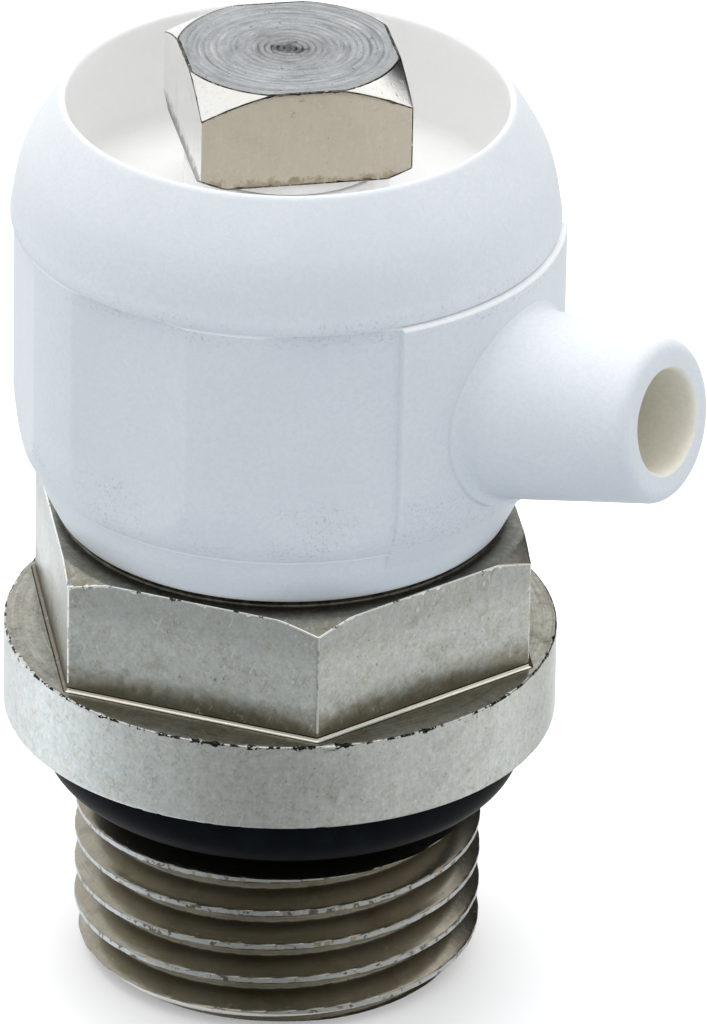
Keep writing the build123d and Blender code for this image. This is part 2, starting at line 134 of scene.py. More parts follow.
def polygon_radius(theta, turn, sides, apothem, rounding):
    """Radius of a regular polygon whose corners carry a small rounding."""
    step = TAU / sides
    from_corner = wrap(theta - rad(turn), step)
    flat = apothem / np.cos(step / 2 - np.abs(from_corner))
    centre = (apothem - rounding) / math.cos(step / 2)
    limit = math.atan2(rounding * math.sin(step / 2), centre + rounding * math.cos(step / 2))
    arc = centre * np.cos(from_corner) + np.sqrt(
        np.maximum(rounding ** 2 - (centre * np.sin(from_corner)) ** 2, 0))
    return np.where(np.abs(from_corner) < limit, arc, flat)


def helix_radius(theta, z, crest, root, pitch, phase, half_angle, crest_width, soft):
    """Radius of a right-hand thread at each angle and height."""
    distance = np.abs(wrap((z - phase) / pitch - theta / TAU, 1.0)) * pitch
    flank = crest - (distance - crest_width / 2) / math.tan(rad(half_angle))
    return -smooth_min(-smooth_min(flank, crest, soft), -root, soft * 1.6)


# =====================================================================
# meshes
# =====================================================================
class Lathe:
    """Rows of points round an axis; radius and height of a row may vary with angle."""

    def __init__(self, theta):
        self.theta = theta
        self.rows = []                          # (radius, height, slot)

    def spread(self, value):
        return np.broadcast_to(np.asarray(value, float), self.theta.shape)

    def row(self, radius, z, slot=0):
        self.rows.append((self.spread(radius), self.spread(z), slot))

    def path(self, points, open_start=False, open_end=False):
        """Points are (radius, height, bevel, strips in the bevel, strips to the next point,
        slot) and may end with the slot of the bevel: one, or one for each of its strips.
        An open start or end leaves out the row of that end point."""
        corners = [np.array([self.spread(p[0]), self.spread(p[1])]) for p in points]

        def toward(corner, other, bevel):
            length = np.hypot(*(other - corner)) + 1e-9
            return corner + (other - corner) / length * np.minimum(bevel, 0.49 * length)

        arcs = []
        for i, (corner, point) in enumerate(zip(corners, points)):
            bevel = self.spread(point[2])
            if i in (0, len(points) - 1) or np.all(bevel == 0):
                arcs.append([corner])
                continue
            start = toward(corner, corners[i - 1], bevel)
            end = toward(corner, corners[i + 1], bevel)
            arcs.append([(1 - f) ** 2 * start + 2 * f * (1 - f) * corner + f * f * end
                         for f in np.linspace(0, 1, point[3] + 1)])
        rows = []
        for i, (arc, point) in enumerate(zip(arcs, points)):
            strips, slot, bevel_slots = point[4], point[5], point[-1]
            slots = [*np.broadcast_to(bevel_slots, len(arc) - 1), slot]
            rows += [(*place, arc_slot) for place, arc_slot in zip(arc, slots)]
            if i < len(points) - 1:
                for k in range(1, strips):
                    share = k / strips
                    rows.append((*(arc[-1] * (1 - share) + arcs[i + 1][0] * share), slot))
        self.rows += rows[int(open_start):len(rows) - int(open_end)]

    def mesh(self, name, materials, closed=True, place=None, reslot=None):
        """closed: the last row joins the first.  Otherwise both ends are poles.
        reslot(radius, height, slot) may set each face's slot again."""
        count, columns = len(self.rows), len(self.theta)
        radii = np.array([row[0] for row in self.rows])
        heights = np.array([row[1] for row in self.rows])
        points = np.stack([radii * np.cos(self.theta), radii * np.sin(self.theta), heights], -1)
        points = points.reshape(-1, 3)
        here = np.arange(columns)
        right = (here + 1) % columns
        quads, slots = [], []
        for j in range(count if closed else count - 1):
            after = (j + 1) % count
            low, high = j * columns, after * columns
            quads.append(np.stack([low + here, low + right, high + right, high + here], 1))
            slot = np.full(columns, self.rows[j][2])
            if reslot is not None:
                radius = (radii[j] + np.roll(radii[j], -1)
                          + radii[after] + np.roll(radii[after], -1)) / 4
                slot = reslot(radius, (heights[j] + heights[after]) / 2, slot)
            slots.append(slot)
        quads = np.concatenate(quads)
        tris = np.zeros((0, 3), int)
        if not closed:
            pole = np.full(columns, len(points))
            last = (count - 1) * columns
            points = np.vstack([points, [[0, 0, heights[0].mean()]],
                                [[0, 0, heights[-1].mean()]]])
            tris = np.concatenate([np.stack([pole, right, here], 1),
                                   np.stack([pole + 1, last + here, last + right], 1)])
            slots += [np.full(columns, self.rows[k][2]) for k in (0, -1)]
        if place is not None:
            points = place(points)
        return build(name, points * MM, quads, tris, np.concatenate(slots), materials)


def build(name, points, quads, tris, slots, materials, sharp=28):
    mesh = bpy.data.meshes.new(name)
    mesh.vertices.add(len(points))
    mesh.vertices.foreach_set("co", np.ascontiguousarray(points, np.float32).ravel())
    loops = np.concatenate([quads.ravel(), tris.ravel()]).astype(np.int32)
    totals = np.concatenate([np.full(len(quads), 4), np.full(len(tris), 3)]).astype(np.int32)
    starts = np.concatenate([[0], np.cumsum(totals)[:-1]]).astype(np.int32)
    mesh.loops.add(len(loops))
    mesh.loops.foreach_set("vertex_index", loops)
    mesh.polygons.add(len(totals))
    mesh.polygons.foreach_set("loop_start", starts)
    mesh.polygons.foreach_set("loop_total", totals)
    mesh.polygons.foreach_set("material_index", slots.astype(np.int32))
    mesh.polygons.foreach_set("use_smooth", np.ones(len(totals), bool))
    mesh.update(calc_edges=True)
    mesh.validate()
    mesh.set_sharp_from_angle(angle=rad(sharp))
    piece = bpy.data.objects.new(name, mesh)
    bpy.context.scene.collection.objects.link(piece)
    for material in materials:
        mesh.materials.append(MATERIALS[material])
    return piece


def boolean(target, tool, operation):
    """Join the tool to the target or cut it away, then remove the tool."""
    modifier = target.modifiers.new("cut", "BOOLEAN")
    modifier.object, modifier.operation, modifier.solver = tool, operation, "MANIFOLD"
    bpy.context.view_layer.update()
    graph = bpy.context.evaluated_depsgraph_get()
    mesh = bpy.data.meshes.new_from_object(target.evaluated_get(graph))
    if len(mesh.polygons) < 10:
        raise RuntimeError("boolean failed on " + target.name)
    target.modifiers.clear()
    old = target.data
    name = old.name
    target.data = mesh
    bpy.data.meshes.remove(old)
    mesh.name = name
    tool_mesh = tool.data
    bpy.data.objects.remove(tool)
    bpy.data.meshes.remove(tool_mesh)
    mesh.polygons.foreach_set("use_smooth", np.ones(len(mesh.polygons), bool))
    mesh.set_sharp_from_angle(angle=rad(28))


def hand_over(piece, node, rider):
    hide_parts(node)
    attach(piece, rider)


# =====================================================================
# node trees
# =====================================================================
class Nodes:
    def __init__(self, tree):
        self.tree = tree

    def put(self, socket, value):
        if isinstance(value, bpy.types.NodeSocket):
            self.tree.links.new(value, socket)
        elif isinstance(value, tuple) and len(value) == 3 and socket.type == "RGBA":
            socket.default_value = (*value, 1.0)
        else:
            socket.default_value = value

    def node(self, kind, inputs=(), output=0, **props):
        """Add a node, fill its inputs (by name or number) and return one output."""
        made = self.tree.nodes.new("ShaderNode" + kind)
        for key, value in props.items():
            setattr(made, key, value)
        for key, value in dict(inputs).items():
            self.put(made.inputs[key], value)
        return made.outputs[output]

    def ramp(self, value, band, ends=(0.0, 1.0)):
        """Smooth step from the first end to the second as value crosses the band."""
        return self.node("MapRange", {"Value": value, "From Min": band[0], "From Max": band[1],
                                      "To Min": ends[0], "To Max": ends[1]},
                         "Result", interpolation_type="SMOOTHSTEP", clamp=True)


MATERIALS = {}
SURFACE_INPUTS = {
    "rough": "Roughness", "metal": "Metallic", "normal": "Normal", "ior": "IOR",
    "spec": "Specular IOR Level", "sss": "Subsurface Weight", "sss_scale": "Subsurface Scale",
    "sss_radius": "Subsurface Radius", "glow": "Emission Color", "glow_power": "Emission Strength",
}


class Shade(Nodes):
    """A material whose colour is built up by tints over a base colour."""

    def __init__(self, name, base):
        self.name, self.color = name, base
        self.material = bpy.data.materials.new(name)
        self.material.use_nodes = True
        super().__init__(self.material.node_tree)

    @cached_property
    def place(self):
        """Position in millimetres."""
        return self.node("VectorMath", {0: self.node("TexCoord", output="Object"),
                                        "Scale": 1000.0}, operation="SCALE")

    @cached_property
    def axes(self):
        return tuple(self.node("SeparateXYZ", {0: self.place}).node.outputs)

    @cached_property
    def radius(self):
        x, y, z = self.axes
        return self.node("VectorMath", {0: self.combine(x, y, 0.0)}, "Value",
                         operation="LENGTH")

    @cached_property
    def outward(self):
        """x and y of the unit direction away from the axis."""
        return [self.math("DIVIDE", axis, self.math("MAXIMUM", self.radius, 0.02))
                for axis in self.axes[:2]]

    def math(self, operation, one, other):
        return self.node("Math", {0: one, 1: other, 2: 0.0}, operation=operation)

    def plus(self, one, other):
        return self.math("ADD", one, other)

    def times(self, one, other):
        return self.math("MULTIPLY", one, other)

    def blend(self, one, share, other, other_share):
        return self.plus(self.times(one, share), self.times(other, other_share))

    def wobbled(self, value, noise, reach):
        return self.plus(value, self.times(self.math("SUBTRACT", noise, 0.5), reach))

    def combine(self, x, y, z):
        return self.node("CombineXYZ", {0: x, 1: y, 2: z})

    def streaked(self, degrees, axis, size):
        """Position turned about an axis, then scaled by a factor for each axis."""
        turned = self.node("VectorRotate",
                           {"Vector": self.place, "Axis": axis, "Angle": rad(degrees)},
                           rotation_type="AXIS_ANGLE")
        return self.node("VectorMath", {0: turned, 1: size}, operation="MULTIPLY")

    def turned(self, across, along):
        """Vector for noise in lines that run round the axis: fine across, slow along."""
        x, y = self.outward
        return self.combine(self.times(x, along), self.times(y, along),
                            self.times(self.plus(self.axes[2], self.radius), across))

    def drawn(self, across, along):
        """Vector for noise in lines that run parallel to the axis."""
        x, y, z = self.axes
        return self.combine(self.times(x, across), self.times(y, across), self.times(z, along))

    def noise(self, scale=1.0, detail=3.0, rough=0.55, distort=0.0, vector=None):
        return self.node("TexNoise", {"Vector": vector or self.place, "Scale": scale,
                                      "Detail": detail, "Roughness": rough,
                                      "Distortion": distort}, "Fac")

    def corners(self, reach):
        """Ambient occlusion: low in corners, reach in millimetres."""
        return self.node("AmbientOcclusion", {"Distance": reach * MM}, "AO", samples=6)

    def bump(self, height, depth, under=None):
        inputs = {"Strength": 1.0, "Distance": depth * MM, "Height": height}
        if under is not None:
            inputs["Normal"] = under
        return self.node("Bump", inputs)

    def tint(self, amount, tone):
        self.color = self.node("Mix", {0: amount, 6: self.color, 7: tone}, 2, data_type="RGBA")

    def tint_ramp(self, value, band, ends, tone, share):
        amount = self.ramp(value, band, ends)
        self.tint(amount if share is None else self.times(amount, share), tone)

    def tint_above(self, value, band, tone, amount=1.0, share=None):
        """Tint where value lies beyond the band's second number; share scales the tint."""
        self.tint_ramp(value, band, (0.0, amount), tone, share)

    def tint_below(self, value, band, tone, amount=1.0, share=None):
        """Tint where value lies before the band's first number; share scales the tint."""
        self.tint_ramp(value, band, (amount, 0.0), tone, share)

    def finish(self, **values):
        surface = self.tree.nodes["Principled BSDF"]
        self.put(surface.inputs["Base Color"], self.color)
        for key, value in values.items():
            self.put(surface.inputs[SURFACE_INPUTS[key]], value)
        MATERIALS[self.name] = self.material


def scaled(tone, factor):
    return tuple(channel * factor for channel in tone)


# =====================================================================
# kinds of material
# =====================================================================
# scratch directions: degrees, axis of the turn, scale along each axis
SCRATCHES = (
    (34, (0.1, 0.25, 1.0), (0.45, 15.0, 6.0)),
    (-47, (0.9, 0.4, 0.1), (9.0, 0.6, 16.0)),
    (71, (0.3, 0.9, 0.2), (0.5, 9.0, 17.0)),
)


def metal(name, tone, cool, film, rough=0.30, lines=None, line_amount=0.25, line_bump=0.0010,
          grain_amount=0.10, mottle=0.6, film_amount=0.30, specks=0.5, painted_corner_shade=(0.35, 0.5),
          scratch=0.2, low=None, middle=None, high=None):
    """Nickel plate over machined brass.  tone and cool are its two greys, film the brownish
    dark layer that gathers in blots.  painted_corner_shade (reach in mm, strength) paints
    the shade of ambient occlusion into corners and contact lines, in a deep tone of the film.
    low, middle and high tint the foot, the middle of a faced end and the top; on the screw
    head low paints a gap shadow."""
    mat = Shade(name, tone)
    bright = (0.95, 0.95, 0.93)
    z = mat.axes[2]
    grain = mat.noise(scale=12.0, detail=4.0, rough=0.7)
    mid = mat.noise(scale=3.4, detail=4.0, rough=0.65, distort=0.4)
    blot = mat.noise(scale=0.95, detail=4.0, rough=0.62, distort=0.7)
    mat.tint_above(mid, band=(0.38, 0.62), tone=cool)
    both = mat.blend(grain, 0.6, mid, 0.4)
    mat.tint_below(both, band=(0.32, 0.50), tone=film, amount=grain_amount * 2.2)
    mat.tint_above(both, band=(0.52, 0.70), tone=bright, amount=grain_amount * 2.0)
    spot = mat.noise(scale=6.2, detail=2.0, rough=0.55, distort=0.3)
    mat.tint_below(spot, band=(0.34, 0.48), tone=film, amount=mottle * 0.26)
    mat.tint_above(spot, band=(0.53, 0.66), tone=bright, amount=mottle * 0.22)
    mat.tint_above(blot, band=(0.46, 0.78), tone=film, amount=film_amount)
    height = mat.times(grain, 0.0012)
    if lines:
        if lines == "turned":
            fine, wide = mat.turned(across=17.0, along=2.0), mat.turned(across=5.0, along=1.2)
        else:
            fine, wide = mat.drawn(across=13.0, along=0.8), mat.drawn(across=3.5, along=0.4)
        line = mat.blend(mat.noise(rough=0.6, vector=fine), 0.5,
                         mat.noise(rough=0.6, vector=wide), 0.5)
        mat.tint_below(line, band=(0.36, 0.50), tone=film, amount=line_amount)
        mat.tint_above(line, band=(0.52, 0.68), tone=(0.92, 0.92, 0.90), amount=line_amount)
        height = mat.plus(height, mat.times(line, line_bump * 2.5))
    if middle:
        reach, dark = middle["reach"], middle["tone"]
        mat.tint_below(mat.wobbled(mat.radius, blot, reach=0.9), band=(reach * 0.25, reach),
                       tone=dark, amount=middle["amount"])
        mat.tint_below(mat.wobbled(mat.radius, mid, reach=1.1), band=(0.26, 0.42),
                       tone=scaled(dark, 0.2), amount=0.75)
    if high:
        mat.tint_above(z, **high)
    # darker towards the foot; on the screw head this is a painted gap shadow
    if low:
        mat.tint_below(mat.wobbled(z, mid, reach=0.8), **low)
    if scratch:
        for degrees, axis, size in SCRATCHES:
            hair = mat.noise(detail=1.0, rough=0.4, vector=mat.streaked(degrees, axis, size))
            patch = mat.ramp(blot, band=(0.42, 0.58))
            crest = (0.695, 0.735)
            mat.tint_above(hair, crest, tone=(0.95, 0.95, 0.92), amount=scratch, share=patch)
            # a band that runs downwards tints the low values
            mat.tint_above(hair, band=(0.30, 0.265), tone=scaled(film, 0.5), amount=scratch,
                           share=patch)
            groove = mat.times(mat.ramp(hair, crest, ends=(0.0, 0.0016)), patch)
            height = mat.math("SUBTRACT", height, groove)
    speck = mat.noise(scale=6.5, detail=1.0, rough=0.5)
    speck_band = (0.735, 0.775)
    mat.tint_above(speck, speck_band, tone=scaled(film, 0.25), amount=specks)
    height = mat.math("SUBTRACT", height, mat.ramp(speck, speck_band, ends=(0.0, 0.003)))
    # painted shade: ambient occlusion darkens corners, thread roots and the contact lines between
    # parts
    mat.tint_below(mat.corners(reach=painted_corner_shade[0]), band=(0.20, 0.90), tone=scaled(film, 0.18),
                   amount=painted_corner_shade[1])
    mat.finish(rough=mat.plus(rough - 0.06, mat.times(mat.plus(grain, mid), 0.06)),
               metal=1.0, normal=mat.bump(height, depth=1.0))


def edge_wear_and_painted_light(name, bright, dark, share, size, rough=0.25, glint=0.6):
    """Strip along an edge: metal broken by small dark dents.  Worn rims use it, and so do
    the painted highlight lines and painted shadow lines of the body.
    """
    mat = Shade(name, bright)
    coarse = mat.noise(scale=size, detail=3.0, rough=0.6)
    fine = mat.noise(scale=size * 3.1, detail=2.0, rough=0.5)
    dents = mat.blend(coarse, 0.7, fine, 0.3)
    cut = 0.5 + (0.5 - share) * 0.30
    mat.tint_above(dents, band=(cut - 0.015, cut + 0.015), tone=dark)
    mat.tint_above(fine, band=(0.60, 0.72), tone=(0.97, 0.97, 0.95), amount=glint)
    mat.finish(rough=rough, metal=1.0, normal=mat.bump(dents, depth=0.012))


def plastic(name, tone, shade, grain_bump=0.0040, painted_shade_amount=0.10, soiled=()):
    """soiled: height bands that carry a fine grey dust."""
    mat = Shade(name, shade)
    grain = mat.noise(scale=8.5, detail=3.0, rough=0.6)
    fine = mat.noise(scale=22.0, detail=2.0, rough=0.5)
    broad = mat.noise(scale=0.55, detail=3.0, rough=0.55)
    mat.tint_above(mat.blend(grain, 0.6, fine, 0.4), band=(0.36, 0.62), tone=tone)
    mat.tint_above(broad, band=(0.40, 0.75), tone=scaled(shade, 0.955), amount=0.35)
    cells = mat.node("TexVoronoi", {"Vector": mat.place, "Scale": 2.3}, "Distance")
    mat.tint_above(cells, band=(0.055, 0.02), tone=scaled(shade, 0.72), amount=0.2)
    if soiled:
        z = mat.axes[2]
        dust = mat.noise(scale=13.0, detail=2.0, rough=0.6, distort=0.3)
        for low, high in soiled:
            band = mat.times(mat.ramp(z, (low - 0.12, low + 0.12)),
                             mat.ramp(z, (high - 0.12, high + 0.12), ends=(1.0, 0.0)))
            band = mat.times(band, mat.ramp(broad, (0.36, 0.62)))
            dusty = mat.ramp(dust, (0.53, 0.68), ends=(0.0, 0.30))
            mat.tint(mat.times(band, dusty), scaled(shade, 0.42))
    # painted shade: ambient occlusion darkens corners and recesses
    mat.tint_below(mat.corners(reach=0.6), band=(0.15, 0.80), tone=scaled(shade, 0.45),
                   amount=painted_shade_amount)
    mat.finish(rough=mat.plus(0.46, mat.times(grain, 0.12)),
               normal=mat.bump(mat.blend(grain, 0.6, fine, 0.4), depth=grain_bump),
               sss=0.18, sss_radius=(1.0, 0.92, 0.85), sss_scale=0.28 * MM, ior=1.47)


def rubber(name, tone):
    mat = Shade(name, tone)
    grain = mat.noise(scale=10.0, detail=4.0, rough=0.6)
    broad = mat.noise(scale=1.4, detail=3.0, rough=0.6)
    dust = mat.noise(scale=5.0, detail=5.0, rough=0.75)
    mat.tint_above(broad, band=(0.35, 0.7), tone=scaled(tone, 1.8))
    mat.tint_above(dust, band=(0.62, 0.80), tone=(0.10, 0.11, 0.12), amount=0.10)
    mat.finish(rough=mat.plus(0.39, mat.times(mat.plus(grain, broad), 0.08)),
               normal=mat.bump(grain, depth=0.0035), ior=1.40, spec=0.07)


def inner(name, light, dark, rough, metallic=0.0, lines=None, scale=1.0, bump=0.004,
          fibres=False):
    """Pieces inside the body: brass, steel, fibre, felt, acetal."""
    mat = Shade(name, dark)
    vector = None
    if lines == "turned":
        vector = mat.turned(across=12.0, along=2.5)
    elif lines == "drawn":
        vector = mat.drawn(across=9.0, along=0.8)
    main = mat.noise(scale=scale, detail=4.0, rough=0.65, vector=vector)
    broad = mat.noise(scale=1.3, detail=4.0, rough=0.6, distort=0.5)
    grain = mat.noise(scale=14.0, detail=3.0, rough=0.6)
    mat.tint_above(main, band=(0.34, 0.66), tone=light)
    mat.tint_above(broad, band=(0.5, 0.8), tone=dark, amount=0.4)
    if fibres:
        for k in range(3):
            vector = mat.streaked(60 * k + 11, axis=(0, 0, 1), size=(1.1, 14.0, 9.0))
            mat.tint_above(mat.noise(detail=2.0, rough=0.5, vector=vector), band=(0.60, 0.72),
                           tone=light if k % 2 else dark, amount=0.45)
    # painted shade: ambient occlusion darkens corners
    mat.tint_below(mat.corners(reach=0.3), band=(0.2, 0.85), tone=scaled(dark, 0.3), amount=0.35)
    soft_edges = mat.node("Bevel", {"Radius": 0.03 * MM}, samples=4)
    height = mat.plus(main, mat.times(grain, 0.5))
    mat.finish(rough=mat.plus(rough - 0.07, mat.times(mat.plus(main, grain), 0.07)),
               metal=metallic, normal=mat.bump(height, depth=bump, under=soft_edges))


# =====================================================================
# the materials
# =====================================================================
# valve body
metal("nickel_collar_side", tone=(0.60, 0.62, 0.595), cool=(0.55, 0.59, 0.59),
      film=(0.24, 0.245, 0.22), rough=0.34, lines="drawn", line_amount=0.10, line_bump=0.0002,
      grain_amount=0.22, film_amount=0.26, specks=0.35, painted_corner_shade=(0.2, 0.2))
metal("nickel_collar_face", tone=(0.45, 0.44, 0.38), cool=(0.41, 0.41, 0.36),
      film=(0.10, 0.08, 0.045), lines="turned", line_amount=0.34, grain_amount=0.12,
      film_amount=0.5, painted_corner_shade=(0.30, 0.75))
metal("nickel_hexagon", tone=(0.58, 0.605, 0.57), cool=(0.53, 0.565, 0.565),
      film=(0.25, 0.23, 0.17), rough=0.31, grain_amount=0.21, film_amount=0.34, scratch=0.30,
      specks=0.35, painted_corner_shade=(0.25, 0.30),
      low=dict(band=(2.30, 3.25), tone=(0.15, 0.125, 0.075), share=0.88),
      high=dict(band=(3.9, 4.75), tone=(0.25, 0.26, 0.25), amount=0.30))
metal("nickel_hexagon_top", tone=(0.35, 0.335, 0.275), cool=(0.31, 0.305, 0.255),
      film=(0.12, 0.10, 0.06), rough=0.33, lines="turned", line_amount=0.18,
      grain_amount=0.12, film_amount=0.4, painted_corner_shade=(0.14, 0.7), scratch=0.15)
metal("nickel_thread", tone=(0.33, 0.30, 0.235), cool=(0.30, 0.285, 0.235),
      film=(0.12, 0.085, 0.04), rough=0.25, lines="turned", line_amount=0.14,
      grain_amount=0.05, film_amount=0.35, mottle=0.15, painted_corner_shade=(0.55, 0.75), scratch=0.06,
      specks=0.12)
metal("nickel_bores", tone=(0.48, 0.46, 0.40), cool=(0.44, 0.43, 0.38),
      film=(0.20, 0.17, 0.11), rough=0.36, lines="turned", line_amount=0.2, scratch=0.0,
      painted_corner_shade=(0.5, 0.4))
edge_wear_and_painted_light("nickel_collar_rim", bright=(0.62, 0.63, 0.61), dark=(0.022, 0.020, 0.016),
          share=0.54, size=3.6)
# painted highlight along the top edges of the hexagon, broken by dents of real wear
edge_wear_and_painted_light("nickel_hexagon_rim_highlight", bright=(0.90, 0.90, 0.88), dark=(0.07, 0.065, 0.05),
          share=0.24, size=2.6)
# painted highlight along the rounded vertical corners of the hexagon
edge_wear_and_painted_light("nickel_hexagon_corner_highlight", bright=(0.70, 0.72, 0.70), dark=(0.42, 0.42, 0.39),
          share=0.40, size=2.6, rough=0.34, glint=0.3)
# painted highlight along the fillet at the foot of the hexagon faces
edge_wear_and_painted_light("nickel_hexagon_foot_highlight", bright=(0.80, 0.76, 0.68), dark=(0.34, 0.30, 0.22),
          share=0.14, size=2.0, rough=0.22)
# painted shadow: a near-black line along the fillet's edges and in the gap under the housing
edge_wear_and_painted_light("nickel_painted_shadow_line", bright=(0.055, 0.047, 0.032), dark=(0.025, 0.02, 0.015),
          share=0.5, size=2.0, rough=0.45, glint=0.02)
# painted shade: the pad wall under the housing, darkened like the shaded hexagon top
edge_wear_and_painted_light("nickel_pad_wall_painted_shade", bright=(0.15, 0.145, 0.12), dark=(0.10, 0.095, 0.078),
          share=0.5, size=2.0, rough=0.40, glint=0.02)
# painted highlight along the thread crests
edge_wear_and_painted_light("nickel_thread_crest_highlight", bright=(0.40, 0.42, 0.43), dark=(0.12, 0.115, 0.10),
          share=0.28, size=3.6, rough=0.28, glint=0.3)
# vent screw
# low: painted gap shadow along the foot of the head faces
metal("nickel_screw_head", tone=(0.565, 0.52, 0.43), cool=(0.54, 0.50, 0.42),
      film=(0.34, 0.285, 0.19), rough=0.24, lines="drawn", line_amount=0.06,
      grain_amount=0.08, film_amount=0.14, specks=0.2, mottle=0.15, painted_corner_shade=(0.2, 0.2),
      scratch=0.08, low=dict(band=(14.84, 15.04), tone=(0.25, 0.185, 0.105), share=0.72))
# low: a near-black painted gap shadow along the foot of these faces
metal("nickel_screw_jaw_faces", tone=(0.96, 0.96, 0.94), cool=(0.92, 0.92, 0.91),
      film=(0.52, 0.49, 0.42), rough=0.22, lines="drawn", line_amount=0.06,
      grain_amount=0.08, film_amount=0.22, specks=0.3, mottle=0.15, painted_corner_shade=(0.2, 0.2),
      scratch=0.15, low=dict(band=(14.92, 15.26), tone=(0.03, 0.03, 0.027), share=0.92))
metal("nickel_screw_slope", tone=(0.75, 0.74, 0.71), cool=(0.73, 0.73, 0.72),
      film=(0.42, 0.38, 0.31), rough=0.20, grain_amount=0.08, film_amount=0.20, specks=0.3,
      mottle=0.15, painted_corner_shade=(0.1, 0.1), scratch=0.35)
metal("nickel_screw_top", tone=(0.53, 0.55, 0.57), cool=(0.44, 0.46, 0.485),
      film=(0.12, 0.125, 0.13), rough=0.27, lines="turned", line_amount=0.46,
      line_bump=0.0030, grain_amount=0.12, film_amount=0.2, mottle=0.15, painted_corner_shade=(0.1, 0.1),
      scratch=0.08, middle=dict(reach=1.35, tone=(0.20, 0.205, 0.21), amount=0.50))
edge_wear_and_painted_light("nickel_screw_rim", bright=(0.13, 0.12, 0.10), dark=(0.02, 0.018, 0.015),
          share=0.55, size=3.0, rough=0.35)
metal("nickel_screw_stem", tone=(0.60, 0.58, 0.51), cool=(0.55, 0.54, 0.50),
      film=(0.24, 0.20, 0.13), rough=0.28, lines="turned", line_amount=0.2, scratch=0.05,
      painted_corner_shade=(0.4, 0.45))
# housing, seals and washer
plastic("white_housing_plastic", tone=(0.765, 0.79, 0.81), shade=(0.715, 0.75, 0.78),
        grain_bump=0.0065, soiled=((12.45, 13.15), (6.75, 8.3)))
# painted highlight: lighter strips along the ledge under the flats and the rounded top edge of the
# wall
plastic("white_housing_painted_highlight", tone=(0.90, 0.91, 0.92), shade=(0.85, 0.87, 0.89),
        grain_bump=0.0065)
# the housing's own white plastic, made lighter to paint light into the shaded cup and the inside
plastic("white_cup_plastic_painted_light", tone=(0.965, 0.965, 0.96), shade=(0.94, 0.94, 0.935),
        grain_bump=0.0018, painted_shade_amount=0.0)
# the housing's plastic, made lighter to paint light into the shaded bore of the spout
plastic("spout_bore_plastic_painted_light", tone=(0.90, 0.865, 0.76), shade=(0.85, 0.81, 0.70), painted_shade_amount=0.0)
rubber("black_seal_rubber", tone=(0.003, 0.0045, 0.006))
plastic("white_washer_plastic", tone=(0.90, 0.90, 0.89), shade=(0.86, 0.86, 0.85),
        grain_bump=0.001, painted_shade_amount=0.0)
# pieces inside
inner("bare_brass", light=(0.80, 0.60, 0.30), dark=(0.55, 0.38, 0.16), rough=0.32,
      metallic=1.0, lines="turned")
inner("spring_steel_wire", light=(0.62, 0.62, 0.62), dark=(0.36, 0.36, 0.36), rough=0.28,
      metallic=1.0)
inner("etched_steel", light=(0.64, 0.64, 0.63), dark=(0.42, 0.42, 0.41), rough=0.34,
      metallic=1.0, lines="drawn")
inner("natural_acetal", light=(0.76, 0.74, 0.66), dark=(0.68, 0.65, 0.56), rough=0.45,
      lines="turned", bump=0.002)
inner("swelling_fibre", light=(0.52, 0.33, 0.18), dark=(0.32, 0.18, 0.09), rough=0.72,
      scale=5.0, bump=0.010, fibres=True)
inner("filter_felt", light=(0.80, 0.78, 0.70), dark=(0.60, 0.57, 0.48), rough=0.9,
      scale=7.0, bump=0.02, fibres=True)


# =====================================================================
# valve body
# =====================================================================
HEX_TURN = -49.6              # heading of one corner, degrees
HEX_APOTHEM = 5.5
HEX_TOP = 5.20
HEX_CORNER_TOP = 4.93         # height at which the sloped top meets a sharp corner
COLLAR_R, COLLAR_H = 6.585, 2.19
THREAD_TOP = -2.0
BODY_THREAD = dict(crest=4.864, root=4.283, pitch=0.907, phase=-2.154, half_angle=27.5,
                   crest_width=0.13, soft=0.035)
BODY_MATERIALS = [
    "nickel_collar_side", "nickel_collar_face", "nickel_hexagon", "nickel_hexagon_top",
    "nickel_thread", "nickel_bores", "nickel_collar_rim", "nickel_hexagon_rim_highlight",
    "nickel_hexagon_foot_highlight", "nickel_painted_shadow_line", "nickel_thread_crest_highlight",
    "nickel_hexagon_corner_highlight", "nickel_pad_wall_painted_shade"]
(SIDE, FACE, HEX, HEX_FACE, THREAD, BORES, RIM, HEX_RIM_HIGHLIGHT, FOOT_HIGHLIGHT, SHADOW_LINE, CREST_HIGHLIGHT, CORNER_HIGHLIGHT,
 PAD_SHADE) = range(13)
# grooves outside and stepped bores inside, from the top of the pad round to the foot:
# radius, height, strips in the bevel, strips to the next point
UPPER_STEPS = [
    (4.10, 5.36, 2, 2), (4.10, 5.90, 2, 1), (3.75, 5.90, 2, 1), (3.75, 6.40, 2, 1),
    (4.10, 6.40, 2, 1), (4.10, 7.20, 2, 1), (3.35, 7.20, 2, 1), (3.35, 8.20, 2, 1),
    (4.10, 8.20, 2, 1), (4.10, 8.80, 2, 1), (3.50, 8.80, 2, 4), (3.50, 10.20, 2, 1),
    (4.10, 10.20, 2, 1), (4.10, 11.20, 2, 1), (3.35, 11.20, 2, 1), (3.35, 12.05, 2, 1),
    (4.10, 12.05, 2, 1), (4.10, 12.30, 1, 1), (3.95, 12.45, 1, 2), (2.15, 12.45, 1, 1),
    (2.03, 12.33, 1, 3), (2.03, 10.70, 1, 1), (1.70, 10.70, 1, 6), (1.70, 8.60, 1, 1),
    (1.15, 8.60, 1, 1), (1.00, 8.90, 1, 1), (0.70, 8.90, 1, 1), (0.70, 8.00, 1, 2),
    (2.60, 8.00, 1, 6), (2.60, 0.62, 1, 1), (3.10, 0.62, 1, 1)]
